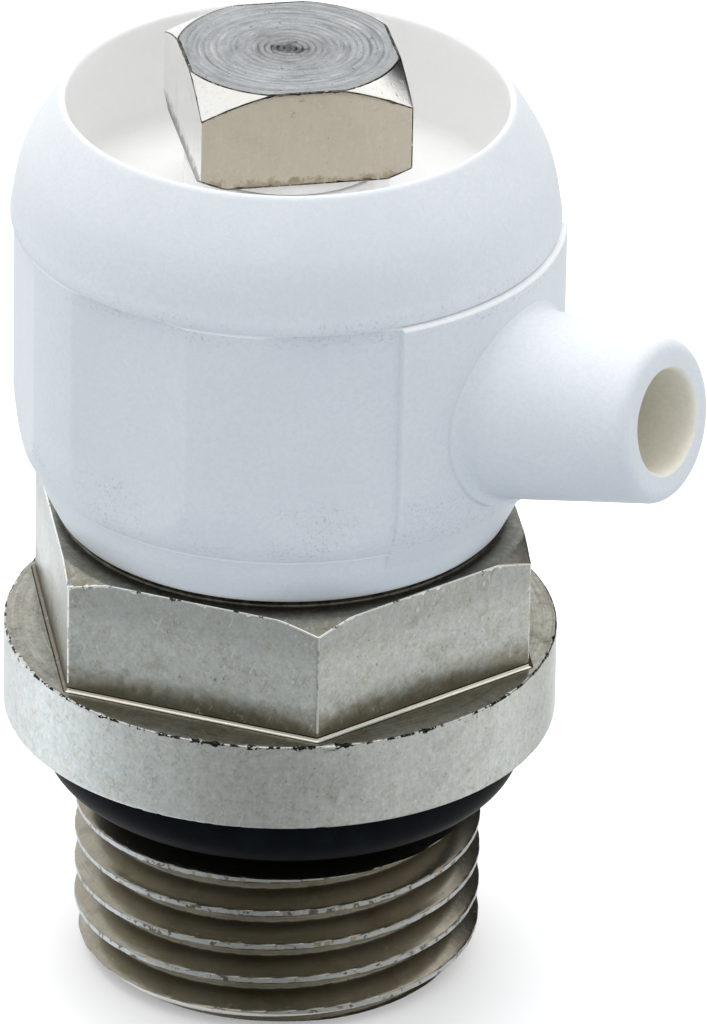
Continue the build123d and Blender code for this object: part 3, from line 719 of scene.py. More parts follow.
# radius, height, strips to the next point
LOWER_BORE = [
    (3.10, -0.03, 1), (3.35, -0.03, 1), (3.35, -0.37, 1), (3.10, -0.37, 6), (3.10, -5.83, 1),
    (3.35, -5.83, 1), (3.35, -6.17, 1), (3.10, -6.17, 1), (3.10, -6.25, 2)]


def add_body_thread(shell):
    theta, crest, pitch = shell.theta, BODY_THREAD["crest"], BODY_THREAD["pitch"]
    turn = theta / TAU
    shell.path([(3.35, BODY_FOOT, 0, 0, 2, BORES), (4.26, BODY_FOOT, 0, 0, 1, THREAD)])
    heights = np.arange(BODY_FOOT, THREAD_TOP + 0.005, 0.0202)
    heights[-1] = THREAD_TOP
    for z in heights:
        radius = helix_radius(theta, z, **BODY_THREAD)
        # burr along the crest, faint waves elsewhere
        near = np.clip((radius - (crest - 0.09)) / 0.08, 0, 1)
        turns = (z - BODY_THREAD["phase"]) / pitch
        burr = np.clip(ring_noise(turn, turns + 40, 150, 5) - 0.45, 0, 1) * 2
        radius = radius - near * 0.012 * burr
        radius = radius + (1 - near) * 0.003 * (ring_noise(turn, z * 1.2 + 30, 60, 9) - 0.5)
        # the thread runs out at both ends
        limit = np.interp(z, [BODY_FOOT, -5.93, -2.28, THREAD_TOP], [4.333, crest, crest, 4.225])
        limit = limit + 0.012 * (ring_noise(turn, z * 3 + 30, 90, 21) - 0.5)
        shell.row(np.minimum(radius, limit), z, THREAD)


def add_collar_and_hexagon(shell):
    theta = shell.theta
    dent = nicks(theta, seed=41, count=90, width=0.9, depth=0.085)
    # one knock by a corner
    dent = dent + 0.11 * np.exp(-((np.degrees(theta) % 360 - 313.6) / 1.2) ** 2)
    low_dent = nicks(theta, seed=77, count=45, width=0.8, depth=0.05)
    collar_edge = (COLLAR_R, COLLAR_H, 0.045 + dent, 5, 10, FACE, RIM)
    # undercut, underside and side of the collar
    shell.path([
        (4.20, -1.97, 0, 0, 1, THREAD),
        (4.10, -1.90, 0.03, 2, 3, BORES),
        (4.10, 0.08, 0.05, 2, 3, BORES),
        (5.95, 0.08, 0.02, 2, 1, FACE),
        (5.95, 0.00, 0.02, 2, 2, FACE),
        (COLLAR_R, 0.00, 0.085 + low_dent, 5, 22, SIDE),
        collar_edge,
    ], open_end=True)

    hexagon = polygon_radius(theta, HEX_TURN, 6, HEX_APOTHEM, rounding=0.10)
    slope = math.tan(rad(30))
    top_radius = 2 * HEX_APOTHEM / math.sqrt(3) - (HEX_TOP - HEX_CORNER_TOP) / slope
    edge_z = HEX_TOP - np.maximum(hexagon - top_radius, 0) * slope
    inset = np.minimum(top_radius, hexagon - 0.055)
    inset_z = HEX_TOP - np.maximum(inset - top_radius, 0) * slope
    waved = hexagon + 0.012 * (ring_noise(theta / TAU, 0.7, 18, 51) - 0.5)
    edge_dent = nicks(theta, seed=91, count=70, width=0.8, depth=0.075)
    shell.path([
        (COLLAR_R, COLLAR_H - 0.8, 0, 0, 1, SIDE),
        collar_edge,
        # fillet at the foot of the hexagon: painted highlight strips between two painted shadow
        # lines
        (waved, COLLAR_H, 0.115, 6, 26, HEX, (SHADOW_LINE, FOOT_HIGHLIGHT, FOOT_HIGHLIGHT, FOOT_HIGHLIGHT, FOOT_HIGHLIGHT, SHADOW_LINE)),
        (waved, edge_z, 0.030 + edge_dent, 4, 8, HEX_FACE, HEX_RIM_HIGHLIGHT),
        (inset, inset_z, 0.02, 2, 6, HEX_FACE),
        (5.25, HEX_TOP, 0.10, 6, 2, HEX_FACE),
        (5.25, 5.36, 0.04, 2, 3, HEX_FACE),
        *[(radius, z, 0.02, bevel_strips, strips, BORES)
          for radius, z, bevel_strips, strips in UPPER_STEPS],
        *[(radius, z, 0.01, 1, strips, BORES) for radius, z, strips in LOWER_BORE],
        (3.30, -6.43, 0, 0, 1, BORES),
    ], open_start=True)


def body_slots(theta):
    middles = strip_middles(theta)
    from_corner = wrap(middles - HEX_TURN, 60)
    facet = (((middles - HEX_TURN) % 360) // 60).astype(int)

    def reslot(radius, z, slot):
        # painted highlight on the crests
        slot = np.where((slot == THREAD) & (radius > BODY_THREAD["crest"] - 0.0075), CREST_HIGHLIGHT, slot)
        # the painted highlight at the foot is left off facets 1 and 4
        slot = np.where((slot == FOOT_HIGHLIGHT) & ((facet == 1) | (facet == 4)), HEX, slot)
        # painted shadow line in the gap under the housing
        slot = np.where((slot == HEX_FACE) & (z > 5.25), SHADOW_LINE, slot)
        # below it the pad wall in painted shade
        slot = np.where((slot == HEX_FACE) & (z > 5.205), PAD_SHADE, slot)
        # painted highlight on the corners
        on_corner = (np.abs(from_corner) < 0.28) & (z > COLLAR_H + 0.2)
        return np.where((slot == HEX) & on_corner, CORNER_HIGHLIGHT, slot)
    return reslot


def cut_port(shell, heading):
    """Air port running outwards into the annular chamber behind the spout."""
    cutter = Lathe(even_angles(10))
    for reach in (1.9, 2.5, 3.1, 3.8):
        cutter.row(0.45, reach)

    def aim(points):
        x, y, z = points.T
        cosine, sine = math.cos(heading), math.sin(heading)
        return np.stack([z * cosine - x * sine, z * sine + x * cosine, 9.5 + y], 1)
    tool = cutter.mesh("port_cutter", ["nickel_bores"], closed=False, place=aim)
    boolean(shell, tool, "DIFFERENCE")


def valve_body():
    theta = angles([HEX_TURN + 60 * k for k in range(6)])
    shell = Lathe(theta)
    add_body_thread(shell)
    add_collar_and_hexagon(shell)
    body = shell.mesh("valve_body_shell", BODY_MATERIALS, reslot=body_slots(theta))
    for k in range(4):
        cut_port(body, rad(45 + 90 * k))
    hand_over(body, "valve_body", "valve_body")


valve_body()


# =====================================================================
# housing with its spout
# =====================================================================
FLAT_TURN, FLAT_APOTHEM = -3.2, 6.215       # seven flats, 45 degrees apart
BAND_R, SECTOR_R = 6.43, 6.60
SECTOR_MIDDLE, SECTOR_HALF = -1.0, 32.0     # raised sector round the spout, degrees
FLATS = [FLAT_TURN + 45 * k for k in range(1, 8)]
WALL, CUP, BORE, HIGHLIGHT_LINE = range(4)
# profiles: height, radius
BASE = [(5.45, 5.41), (6.10, 5.72), (6.68, 5.93), (6.80, 6.03), (7.30, 6.27), (8.10, BAND_R),
        (8.30, BAND_R)]
SECTOR = [(6.10, 5.70), (6.85, 6.10), (7.55, 6.42), (8.60, SECTOR_R), (8.80, SECTOR_R)]
SHOULDER = [(13.28, 6.430), (13.60, 6.385), (14.02, 6.300), (14.45, 6.165), (14.85, 5.975),
            (15.20, 5.775), (15.50, 5.585), (15.74, 5.420)]
# rows of points: radius, height
FLASH = [(6.425, 12.835), (6.452, 12.858), (6.468, 12.89), (6.475, 12.95), (6.475, 13.03),
         (6.463, 13.12), (6.447, 13.20), (6.430, 13.28)]
TOP_RIM = [(5.405, 15.760), (5.378, 15.800), (5.345, 15.838), (5.310, 15.862),
           (5.275, 15.873), (5.240, 15.868), (5.212, 15.842), (5.196, 15.800),
           (5.191, 15.740)]
CUP_FILLET = [(5.268, 13.44), (5.262, 13.38), (5.240, 13.32), (5.205, 13.27),
              (5.155, 13.235), (5.09, 13.217), (5.02, 13.210)]


def curve(points, z):
    """Monotone cubic through (height, radius) points."""
    heights, radii = np.array(points, float).T
    slopes = np.diff(radii) / np.diff(heights)
    tangents = np.zeros(len(heights))
    tangents[0], tangents[-1] = slopes[0], slopes[-1]
    for i in range(1, len(heights) - 1):
        before, after = slopes[i - 1], slopes[i]
        tangents[i] = 0 if before * after <= 0 else 2 * before * after / (before + after)
    i = int(np.clip(np.searchsorted(heights, z) - 1, 0, len(heights) - 2))
    width = heights[i + 1] - heights[i]
    f = (z - heights[i]) / width
    return ((1 + 2 * f) * (1 - f) ** 2 * radii[i] + f * (1 - f) ** 2 * width * tangents[i]
            + f * f * (3 - 2 * f) * radii[i + 1] + f * f * (f - 1) * width * tangents[i + 1])


def housing_angles():
    half_flat = math.degrees(math.acos(FLAT_APOTHEM / BAND_R))
    edges = [flat + side * half_flat for flat in FLATS for side in (-1, 1)]
    edges = [edge for edge in edges
             if abs(wrap(edge - SECTOR_MIDDLE, 360)) > SECTOR_HALF + 1.5]
    return angles(edges + [SECTOR_MIDDLE - SECTOR_HALF, SECTOR_MIDDLE + SECTOR_HALF])


def sector_share(theta):
    """1 within the raised sector, 0 outside it."""
    offset = np.abs(wrap(np.degrees(theta) - SECTOR_MIDDLE, 360))
    return ease(np.clip((SECTOR_HALF + 0.18 - offset) / 0.36, 0, 1))


def flats_radius(theta):
    radius = np.full_like(theta, 99.0)
    for flat in FLATS:
        offset = wrap(np.degrees(theta) - flat, 360)
        line = FLAT_APOTHEM / np.cos(np.radians(np.clip(offset, -40, 40)))
        radius = np.minimum(radius, np.where(np.abs(offset) < 40, line, 99.0))
    return radius


def add_wall(shell):
    theta = shell.theta
    turn = theta / TAU
    flats, in_sector = flats_radius(theta), sector_share(theta)

    def wall(z):
        band = curve(BASE, z) if z < 8.1 else BAND_R
        softness = 0.012 + 0.07 * min(max((8.0 - z) / 0.9, 0), 1)
        radius = smooth_min(np.full_like(theta, band), flats, softness)
        if z > 6.10:
            raised = curve(SECTOR, z) if z < 8.6 else SECTOR_R
            radius = np.maximum(radius, radius + (max(raised, band) - radius) * in_sector)
        # slight sink and wave of a moulded wall
        return radius - 0.006 * ring_noise(turn, z * 0.5 + 20, 12, 71)

    shell.path([(4.40, 5.39, 0, 0, 4, WALL), (5.35, 5.39, 0, 0, 1, WALL)])
    for z in (*np.linspace(5.45, 6.66, 16), *np.linspace(6.70, 6.84, 5),
              *np.linspace(6.92, 8.64, 22), *np.linspace(8.75, 12.70, 30)):
        shell.row(wall(z), z)
    # rounded upper edge of the wall, then the narrow ledge above it
    top = wall(12.76)
    for inset, z in ((0.0, 12.755), (0.012, 12.785), (0.032, 12.808)):
        shell.row(top - inset, z)
    shell.row(np.minimum(6.385, top - 0.045), 12.822)


def add_shoulder_and_cup(shell):
    turn = shell.theta / TAU
    flash = 0.004 * ring_noise(turn, 5.5, 80, 13, octaves=3)
    for radius, z in FLASH:
        shell.row(radius + flash - 0.004, z)
    for z in np.linspace(13.34, 15.72, 40):
        shell.row(curve(SHOULDER, z) - 0.004 * ring_noise(turn, z * 0.7 + 10, 14, 72), z)
    for radius, z in TOP_RIM:
        shell.row(radius, z, CUP if radius < 5.25 else WALL)
    for z in np.linspace(15.60, 13.50, 14):
        shell.row(5.19 + 0.08 * (15.74 - z) / 2.28, z, CUP)
    for radius, z in CUP_FILLET:
        shell.row(radius, z, CUP)
    # floor of the cup, collar round the screw, then the inside down to the foot
    shell.path([
        (4.98, 13.21, 0, 0, 12, CUP), (2.42, 13.21, 0.13, 4, 6, CUP),
        (2.42, 14.46, 0.06, 3, 1, CUP), (2.13, 14.46, 0.02, 1, 1, CUP),
        (2.05, 14.38, 0.02, 1, 4, CUP), (2.05, 12.50, 0.02, 1, 4, CUP),
        (4.15, 12.50, 0.05, 2, 24, CUP), (4.15, 6.44, 0.01, 1, 1, CUP),
        (4.32, 6.44, 0.01, 1, 1, CUP), (4.32, 5.86, 0.01, 1, 1, CUP),
        (4.15, 5.86, 0.01, 1, 1, CUP), (4.15, 5.64, 0.01, 1, 1, CUP),
        (4.38, 5.41, 0, 0, 1, CUP),
    ])


# The spout is a cone that flares a little where it meets the wall.
SPOUT_TILT = rad(8.9)
SPOUT_START = np.array([0, 0, 8.738])
SPOUT_ALONG = np.array([math.cos(SPOUT_TILT), 0, math.sin(SPOUT_TILT)])
SPOUT_UP = np.array([-math.sin(SPOUT_TILT), 0, math.cos(SPOUT_TILT)])
SPOUT_ACROSS = np.array([0.0, 1.0, 0.0])
TIP_R, ROOT_R = 1.93, 2.33
SPOUT_END = 10.64             # distance of the tip along the spout
CONE_SLOPE = (ROOT_R - TIP_R) / (SPOUT_END - 6.0)
FLARE = 0.30
TIP_ROUND = 0.34
BORE_R = 1.21
# bore: radius, distance along the spout, share of the uneven mouth
BORE_ROWS = [
    (0.30, 3.2, 0), (0.60, 3.2, 0), (0.60, 4.3, 0), (0.60, 5.35, 0), (0.9, 5.35, 0),
    (BORE_R, 5.35, 0), (BORE_R, 6.6, 0), (BORE_R, 8.0, 0), (BORE_R, 9.4, 0),
    (BORE_R, 10.05, 0.1), (BORE_R, 10.40, 0.7), (1.222, 10.50, 1), (1.245, 10.575, 1),
    (1.285, 10.63, 1), (1.33, 10.655, 1), (1.36, 11.2, 0), (0.4, 11.2, 0)]


def on_spout(points):
    return (SPOUT_START + points[:, 2:3] * SPOUT_ALONG + points[:, 0:1] * SPOUT_ACROSS
            + points[:, 1:2] * SPOUT_UP)


def cone(along):
    return TIP_R + CONE_SLOPE * (SPOUT_END - along)


def spout_tube():
    theta = even_angles(1.25)
    tube = Lathe(theta)
    across, rise = cone(6.3) * np.cos(theta), cone(6.3) * np.sin(theta)
    # distance along the spout at which each line leaves the wall
    leaves = ((np.sqrt(SECTOR_R ** 2 - across ** 2) + rise * math.sin(SPOUT_TILT))
              / math.cos(SPOUT_TILT))
    tube.row(cone(4.9) * 0.55, 4.9)
    tube.row(cone(4.9), 4.9)
    tube.row(cone(leaves - 0.35) + FLARE * 0.62, leaves - 0.35)
    for share in np.linspace(0.02, 1.0, 11):
        along = leaves + FLARE * share
        flare = FLARE * (1 - math.sqrt(max(1 - (1 - share) ** 2, 0)))
        tube.row(cone(along) + min(flare, 0.62 * FLARE), along)
    for share in np.linspace(0, 1, 26)[1:]:
        along = (leaves + FLARE) * (1 - share) + (SPOUT_END - 0.36) * share
        wave = 0.004 * ring_noise(theta / TAU, 3 * share + 4, 8, 15)
        tube.row(cone(along) - wave, along)
    for degrees in np.linspace(0, 90, 9):
        tube.row(cone(SPOUT_END - TIP_ROUND) - TIP_ROUND + TIP_ROUND * math.cos(rad(degrees)),
                 SPOUT_END - TIP_ROUND + TIP_ROUND * math.sin(rad(degrees)))
    tube.row(1.40, SPOUT_END)
    tube.row(0.6, SPOUT_END)
    return tube.mesh("spout_tube", ["white_housing_plastic"], closed=False, place=on_spout)


def bore_cutter():
    cutter = Lathe(even_angles(2.5))
    mouth = 0.055 * (ring_noise(cutter.theta / TAU, 2.2, 9, 61, octaves=3) - 0.5)
    for radius, along, share in BORE_ROWS:
        cutter.row(radius + share * mouth, along)
    return cutter.mesh("bore_cutter", ["spout_bore_plastic_painted_light"], closed=False, place=on_spout)


def mark_bore(mesh):
    """Give the faces of the bore their slot and keep every index within the slots."""
    count = len(mesh.polygons)
    centres = np.empty(count * 3)
    mesh.polygons.foreach_get("center", centres)
    offset = centres.reshape(-1, 3) / MM - SPOUT_START
    along = offset @ SPOUT_ALONG
    aside = np.hypot(offset @ SPOUT_UP, offset @ SPOUT_ACROSS)
    slots = np.empty(count, np.int32)
    mesh.polygons.foreach_get("material_index", slots)
    slots[slots > HIGHLIGHT_LINE] = WALL
    slots[(along > 3.0) & (aside < 1.25) & (along < 10.55)] = BORE
    mesh.polygons.foreach_set("material_index", slots)


def spout_housing():
    shell = Lathe(housing_angles())
    add_wall(shell)
    add_shoulder_and_cup(shell)
    in_sector = sector_share(shell.theta)

    def reslot(radius, z, slot):
        # painted highlight lines on the ledge under the flats and the top edge of the wall
        line = ((z > 6.655) & (z < 6.735) & (in_sector < 0.5)) | ((z > 12.74) & (z < 12.85))
        return np.where((slot == WALL) & line, HIGHLIGHT_LINE, slot)
    housing = shell.mesh("housing_shell", ["white_housing_plastic", "white_cup_plastic_painted_light",
                                           "spout_bore_plastic_painted_light", "white_housing_painted_highlight"],
                         reslot=reslot)
    boolean(housing, spout_tube(), "UNION")
    boolean(housing, bore_cutter(), "DIFFERENCE")
    mark_bore(housing.data)
    hand_over(housing, "spout_housing", "spout_housing")


spout_housing()


# =====================================================================
# vent screw
# =====================================================================
JAW_TURN = 42.9               # heading of the faces the spanner grips, degrees
HEAD_TURN = JAW_TURN + 45     # heading of a corner
HEAD_HALF = 2.5
HEAD_TOP, HEAD_BOTTOM = 17.157, 14.80
TOP_R, BOTTOM_R = 2.62, 3.14  # where the corner slopes begin
HEAD_SLOPE = math.tan(rad(31.9))
SCREW_THREAD = dict(crest=2.00, root=1.63, pitch=0.70, phase=0.30, half_angle=30,
                    crest_width=0.0875, soft=0.03)
HEAD, TOP, STEM, SLOPE, HEAD_RIM, JAW = range(6)


def add_stem(shell):
    shell.path([
        (0.30, 9.47, 0, 0, 1, STEM), (0.97, 9.47, 0, 0, 1, STEM), (0.97, 8.99, 0, 0, 1, STEM),
        (1.15, 8.99, 0.02, 1, 1, STEM), (1.25, 9.09, 0.02, 1, 3, STEM),
        (1.25, 10.85, 0.03, 1, 1, STEM), (1.60, 10.95, 0, 0, 1, STEM)])
    for z in np.arange(10.97, 12.40, 0.03):
        limit = np.interp(z, [10.95, 11.28, 12.37, 12.40], [1.61, 2.0, 2.0, 1.95])
        shell.row(np.minimum(helix_radius(shell.theta, z, **SCREW_THREAD), limit), z, STEM)


def add_head(shell):
    theta = shell.theta
    square = polygon_radius(theta, HEAD_TURN, 4, HEAD_HALF, rounding=0.035)
    high = HEAD_TOP - np.maximum(square - TOP_R, 0) * HEAD_SLOPE
    low = HEAD_BOTTOM + np.maximum(square - BOTTOM_R, 0) * HEAD_SLOPE
    top_inset = np.minimum(TOP_R, square - 0.05)
    bottom_inset = np.minimum(BOTTOM_R, square - 0.05)
    high_dent = nicks(theta, seed=15, count=34, width=1.4, depth=0.055)
    low_dent = nicks(theta, seed=19, count=26, width=1.6, depth=0.06)
    shell.path([
        (1.62, 12.42, 0, 0, 1, STEM), (2.00, 12.56, 0.02, 1, 3, STEM),
        (2.00, 12.80, 0.02, 1, 1, STEM), (1.50, 12.80, 0.02, 1, 2, STEM),
        (1.50, 13.50, 0.02, 1, 1, STEM), (2.00, 13.50, 0.02, 1, 3, STEM),
        (2.00, 14.60, 0.02, 1, 1, STEM), (1.85, 14.70, 0.02, 1, 1, STEM),
        (1.85, HEAD_BOTTOM, 0.0, 0, 5, HEAD),
        (bottom_inset, HEAD_BOTTOM, 0.02, 2, 5, HEAD),
        (square, low, 0.042 + low_dent, 4, 22, HEAD, HEAD_RIM),
        (square, high, 0.024 + high_dent * 0.6, 4, 6, SLOPE, HEAD_RIM),
        (top_inset, HEAD_TOP, 0.026, 3, 1, TOP, HEAD_RIM),
        (top_inset - 0.12, HEAD_TOP, 0.0, 0, 1, TOP),
    ], open_end=True)
    # rings left by the lathe on the top face
    edge = shell.rows[-1][0]
    for share in np.linspace(1.0, 0.0, 84)[1:]:
        radius = edge * share + 0.02 * (1 - share)
        mean = float(np.mean(edge)) * share
        depth = (0.0080 * (0.45 + 0.55 * math.sin(mean * 2.1 + 0.6) ** 2)
                 + 0.016 * math.exp(-(mean / 0.55) ** 2))
        ring = depth * (0.5 - 0.5 * np.cos(TAU * radius / 0.155 + 0.8 * np.sin(3 * radius)))
        swirl = 0.0035 * ring_noise(theta / TAU, radius * 6.0, 16, 33, octaves=3)
        fade = np.clip((top_inset - radius) / 0.25, 0, 1)
        shell.row(radius, HEAD_TOP - (ring + swirl) * fade, TOP)


def vent_screw():
    shell = Lathe(angles([HEAD_TURN + 90 * k for k in range(4)], base=540))
    add_stem(shell)
    add_head(shell)
    middles = strip_middles(shell.theta)
    jaw_face = np.abs(wrap(middles - JAW_TURN, 180)) < 45
    burred = np.abs(wrap(middles + 2.1, 180)) < 0.34    # two corners the spanner has rubbed

    def reslot(radius, z, slot):
        slot = np.where((slot == HEAD) & jaw_face, JAW, slot)
        on_side = (slot == HEAD) | (slot == JAW)
        return np.where(on_side & burred & (z < 16.6) & (z > 14.85), HEAD_RIM, slot)
    screw = shell.mesh("vent_screw_turned", [
        "nickel_screw_head", "nickel_screw_top", "nickel_screw_stem", "nickel_screw_slope",
        "nickel_screw_rim", "nickel_screw_jaw_faces"], closed=False, reslot=reslot)
    hand_over(screw, "vent_screw", "vent_screw")


vent_screw()


# =====================================================================
# rings, washer and spring
# =====================================================================
def o_ring(name, node, rider, centre_r, wire_r, z, columns, rows, shift=(0, 0), lump=0.0):
    theta = np.arange(columns) * TAU / columns
    ring = Lathe(theta)
    for angle in np.arange(rows) * TAU / rows - math.pi / 2:
        wire = wire_r - lump * ring_noise(theta / TAU, 4 + 1.5 * math.sin(angle), 12, 5)
        ring.row(centre_r + wire * math.cos(angle), z + wire * math.sin(angle))
    piece = ring.mesh(name, ["black_seal_rubber"],
                      place=lambda points: points + np.array([*shift, 0.0]))
    hand_over(piece, node, rider)


o_ring("thread_seal_o_ring", "thread_seal_ring", "valve_body", centre_r=4.98, wire_r=0.78,
       z=-0.82, columns=300, rows=56, shift=(0.068, 0.042), lump=0.012)
o_ring("stem_seal_o_ring", "stem_seal_ring", "stem_seal", centre_r=1.77, wire_r=0.26,
       z=13.15, columns=120, rows=28)
for level, seal_z in (("lower", 7.70), ("upper", 11.62)):
    o_ring(level + "_housing_o_ring", level + "_housing_seal", "valve_body", centre_r=3.75,
           wire_r=0.38, z=seal_z, columns=180, rows=32)


def head_washer():
    ring = Lathe(even_angles(2.0))
    ring.path([(2.03, 14.60, 0, 0, 1, 0), (2.03, 14.49, 0.03, 3, 2, 0),
               (2.40, 14.49, 0.05, 4, 2, 0), (2.40, 14.78, 0.05, 4, 2, 0),
               (2.03, 14.78, 0.03, 3, 1, 0), (2.03, 14.66, 0, 0, 1, 0)])
    washer = ring.mesh("head_washer_ring", ["white_washer_plastic"])
    hand_over(washer, "head_washer", "vent_screw")


head_washer()

# the spring stands on the plunger and is pressed against the guide above it
SPRING_TOP, SPRING_FOOT, LIFT = -0.02, -3.33, 0.45


def coil(name, centre_r, wire, bottom, top, turns, per_turn=40, sides=16):
    """Round wire compression spring whose end turns lie closer together."""
    share = np.linspace(0, 1, turns * per_turn + 1)
    angle = TAU * turns * share
    z = bottom + wire + (top - bottom - 2 * wire) * (share - 0.05 * np.sin(TAU * share))
    line = np.stack([centre_r * np.cos(angle), centre_r * np.sin(angle), z], 1)
    along = np.gradient(line, axis=0)
    along /= np.linalg.norm(along, axis=1)[:, None]
    outward = np.stack([np.cos(angle), np.sin(angle), np.zeros_like(angle)], 1)
    outward -= (outward * along).sum(1)[:, None] * along
    outward /= np.linalg.norm(outward, axis=1)[:, None]
    upward = np.cross(along, outward)
    # point of the line, shift along it, share of the wire radius; the ends are rounded off
    last = len(line) - 1
    stations = [(0, -0.30 * wire, 0.72), *[(i, 0.0, 1.0) for i in range(last + 1)],
                (last, 0.30 * wire, 0.72)]
    around = (np.arange(sides) * TAU / sides)[:, None]
    rings = [line[i] + shift * along[i]
             + wire * size * (np.cos(around) * outward[i] + np.sin(around) * upward[i])
             for i, shift, size in stations]
    count = len(rings)
    points = np.concatenate(rings + [[line[0] - 0.34 * wire * along[0]],
                                     [line[-1] + 0.34 * wire * along[-1]]]) * MM
    here = np.arange(sides)
    after = (here + 1) % sides
    quads = np.concatenate([
        np.stack([i * sides + here, i * sides + after, (i + 1) * sides + after,
                  (i + 1) * sides + here], 1) for i in range(count - 1)])
    pole, end = np.full(sides, count * sides), (count - 1) * sides
    tris = np.concatenate([np.stack([pole, after, here], 1),
                           np.stack([pole + 1, end + here, end + after], 1)])
    slots = np.zeros(len(quads) + len(tris), int)
    return build(name, points, quads, tris, slots, ["spring_steel_wire"], sharp=60)


spring = coil("check_valve_coil", centre_r=1.20, wire=0.12, bottom=SPRING_FOOT,
              top=SPRING_TOP, turns=5)
hand_over(spring, "check_valve_spring", "valve_body")
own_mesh(spring)

# pieces whose CAD shape is kept
LOOKS = {
    "housing_snap_ring": "spring_steel_wire",
    "seat_seal": "black_seal_rubber",
    "disc_carrier": "bare_brass",
    "disc_top_plate": "bare_brass",
    "filter_pad": "filter_felt",
    "check_valve_guide": "bare_brass",
    "guide_retaining_ring": "spring_steel_wire",
    "check_valve_seat": "bare_brass",
    "check_valve_plunger": "natural_acetal",
    "check_valve_seal": "black_seal_rubber",
    "inlet_strainer": "etched_steel",
    "inlet_retaining_ring": "spring_steel_wire",
    **{"swelling_disc_%d" % k: "swelling_fibre" for k in range(1, 7)},
}
for node_name, look in LOOKS.items():
    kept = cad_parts[node_name]
    if not len(kept.material_slots):
        kept.data.materials.append(MATERIALS[look])
    for material_slot in kept.material_slots:
        material_slot.material = MATERIALS[look]


# =====================================================================
# stage: floor, lights, surroundings, camera
# =====================================================================
# View axes: x right, y away from the camera, z up.
FROM_VIEW = Matrix.Rotation(rad(VIEW_HEADING), 3, "Z")
FLOOR_HALF = 1.6              # metres


def add_floor():
    mesh = bpy.data.meshes.new("floor")
    z = BODY_FOOT * MM
    signs = ((-1, -1), (1, -1), (1, 1), (-1, 1))
    mesh.from_pydata([(x * FLOOR_HALF, y * FLOOR_HALF, z) for x, y in signs], [],
                     [(0, 1, 2, 3)])
    floor = bpy.data.objects.new("floor", mesh)
    bpy.context.scene.collection.objects.link(floor)
    mat = Shade("pale_floor", (0.90, 0.90, 0.90))
    mat.tint_above(mat.noise(scale=0.05, detail=3.0, rough=0.5), band=(0.3, 0.7),
                   tone=(0.93, 0.93, 0.93))
    mat.finish(rough=0.9, spec=0.1, glow=(1, 1, 1), glow_power=0.22)
    mesh.materials.append(MATERIALS["pale_floor"])
    floor.visible_glossy = False
    floor.visible_diffuse = False


def add_light(name, position, size, power):
    """Round white area light at a position in view axes, metres, aimed at the valve."""
    data = bpy.data.lights.new(name, "AREA")
    data.shape, data.size, data.energy, data.color = "DISK", size, power, (1, 1, 1)
    lamp = bpy.data.objects.new(name, data)
    bpy.context.scene.collection.objects.link(lamp)
    place = FROM_VIEW @ Vector(position)
    aim = FROM_VIEW @ Vector((0, 0, 0.004))
    lamp.location = place
    lamp.rotation_euler = (aim - place).to_track_quat("-Z", "Y").to_euler()
    lamp.visible_glossy = False


# Soft lobes: direction in view axes, cosine where it starts, cosine where it is full, colour.
# What the metal sees:
GLOSSY_BASE = (0.42, 0.42, 0.40)
GLOSSY_LOBES = [
    ((-0.52, 0.72, -0.45), 0.35, 0.90, (0.74, 0.76, 0.80)),     # white wall behind, left
    ((-0.90, -0.10, -0.42), 0.55, 0.97, (0.26, 0.28, 0.30)),    # left reflector
    ((0.0, 0.15, 1.0), 0.30, 0.85, (0.80, 0.80, 0.80)),         # overhead softbox
    ((0.90, -0.20, -0.40), 0.45, 0.95, (0.30, 0.30, 0.29)),     # right reflector
    ((0.57, 0.68, -0.45), 0.70, 0.95, (0.28, 0.28, 0.27)),      # low behind, right
    ((0.80, 0.56, 0.25), 0.78, 0.95, (-0.40, -0.40, -0.39)),    # dark gap behind, right
    ((0.47, 0.79, 0.39), 0.91, 0.975, (-0.80, -0.80, -0.78)),   # its deeper parts
    ((0.41, 0.86, 0.30), 0.94, 0.985, (-0.70, -0.70, -0.68)),
    ((0.48, 0.55, 0.68), 0.965, 0.995, (0.55, 0.55, 0.55)),     # bright slot above it
    ((0.97, 0.10, -0.40), 0.90, 0.99, (0.14, 0.14, 0.14)),      # low, far right
]
# What lights the matt surfaces:
DIFFUSE_BASE = (0.78, 0.81, 0.84)
DIFFUSE_LOBES = [
    ((0.0, 0.0, 1.0), -0.2, 0.9, (0.30, 0.27, 0.24)),           # from above
    ((0.0, 0.0, -1.0), -0.1, 0.9, (-0.05, -0.01, 0.02)),        # less from below
    ((0.0, -1.0, 0.0), 0.0, 0.95, (-0.15, -0.13, -0.10)),       # and from the front
    ((-1.0, 0.3, 0.0), 0.2, 0.95, (0.12, 0.11, 0.10)),          # from the left
    ((1.0, 0.3, 0.0), 0.2, 0.95, (0.10, 0.10, 0.10)),           # from the right
]


def surroundings(nodes, direction, base, lobes):
    """Background made of a base colour and the sum of soft lobes."""
    total = base
    for axis, start, full, color in lobes:
        cosine = nodes.node("VectorMath", {0: direction, 1: Vector(axis).normalized()},
                            "Value", operation="DOT_PRODUCT")
        total = nodes.node("VectorMath", {0: nodes.ramp(cosine, (start, full)), 1: color,
                                          2: total}, operation="MULTIPLY_ADD")
    total = nodes.node("VectorMath", {0: total, 1: (0.01, 0.01, 0.01)}, operation="MAXIMUM")
    return nodes.node("Background", {"Color": total})


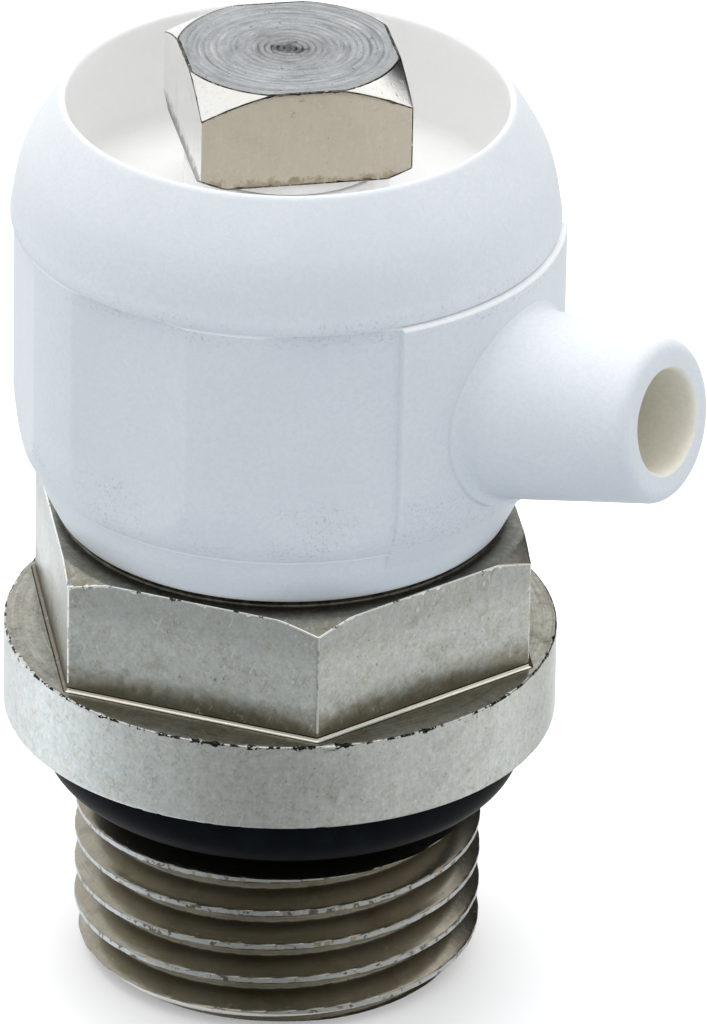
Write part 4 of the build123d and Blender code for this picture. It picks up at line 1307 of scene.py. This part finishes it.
def add_world():
    world = bpy.data.worlds.new("studio")
    bpy.context.scene.world = world
    world.use_nodes = True
    tree = world.node_tree
    tree.nodes.clear()
    nodes = Nodes(tree)
    direction = nodes.node("VectorRotate", {
        "Vector": nodes.node("TexCoord", output="Generated"),
        "Angle": -rad(VIEW_HEADING)}, rotation_type="Z_AXIS")
    glossy = surroundings(nodes, direction, GLOSSY_BASE, GLOSSY_LOBES)
    diffuse = surroundings(nodes, direction, DIFFUSE_BASE, DIFFUSE_LOBES)
    is_glossy = nodes.node("LightPath", output="Is Glossy Ray")
    mixed = nodes.node("MixShader", {0: is_glossy, 1: diffuse, 2: glossy})
    output = tree.nodes.new("ShaderNodeOutputWorld")
    tree.links.new(mixed, output.inputs["Surface"])


LENS, SENSOR = 471.0530039, 36              # millimetres
CAMERA_PITCH, CAMERA_ROLL = 0.47602674, 0.01724852      # looking down, radians
CAMERA_DISTANCE = 0.3175809                 # metres
CAMERA_TARGET = (0.00169557, 0, 0.00502166)             # view axes, metres


def add_camera():
    forward = Vector((0, math.cos(CAMERA_PITCH), -math.sin(CAMERA_PITCH)))
    level = Vector((1, 0, 0))
    upright = Vector((0, math.sin(CAMERA_PITCH), math.cos(CAMERA_PITCH)))
    cosine, sine = math.cos(CAMERA_ROLL), math.sin(CAMERA_ROLL)
    right, above = cosine * level + sine * upright, -sine * level + cosine * upright
    place = Vector(CAMERA_TARGET) - forward * CAMERA_DISTANCE
    data = bpy.data.cameras.new("camera")
    camera = bpy.data.objects.new("camera", data)
    bpy.context.scene.collection.objects.link(camera)
    columns = [FROM_VIEW @ axis for axis in (right, above, -forward)]
    pose = Matrix(columns).transposed().to_4x4()
    pose.translation = FROM_VIEW @ place
    camera.matrix_world = pose
    data.sensor_fit, data.sensor_height = "VERTICAL", SENSOR
    data.lens = LENS
    data.clip_start, data.clip_end = 0.01, 10
    bpy.context.scene.camera = camera


add_floor()
add_light("top_softbox", position=(-0.04, 0.10, 0.30), size=0.34, power=0.50)
add_light("back_softbox", position=(0.02, 0.34, 0.12), size=0.24, power=0.16)
add_world()
add_camera()
bpy.context.scene.view_settings.view_transform = "Standard"
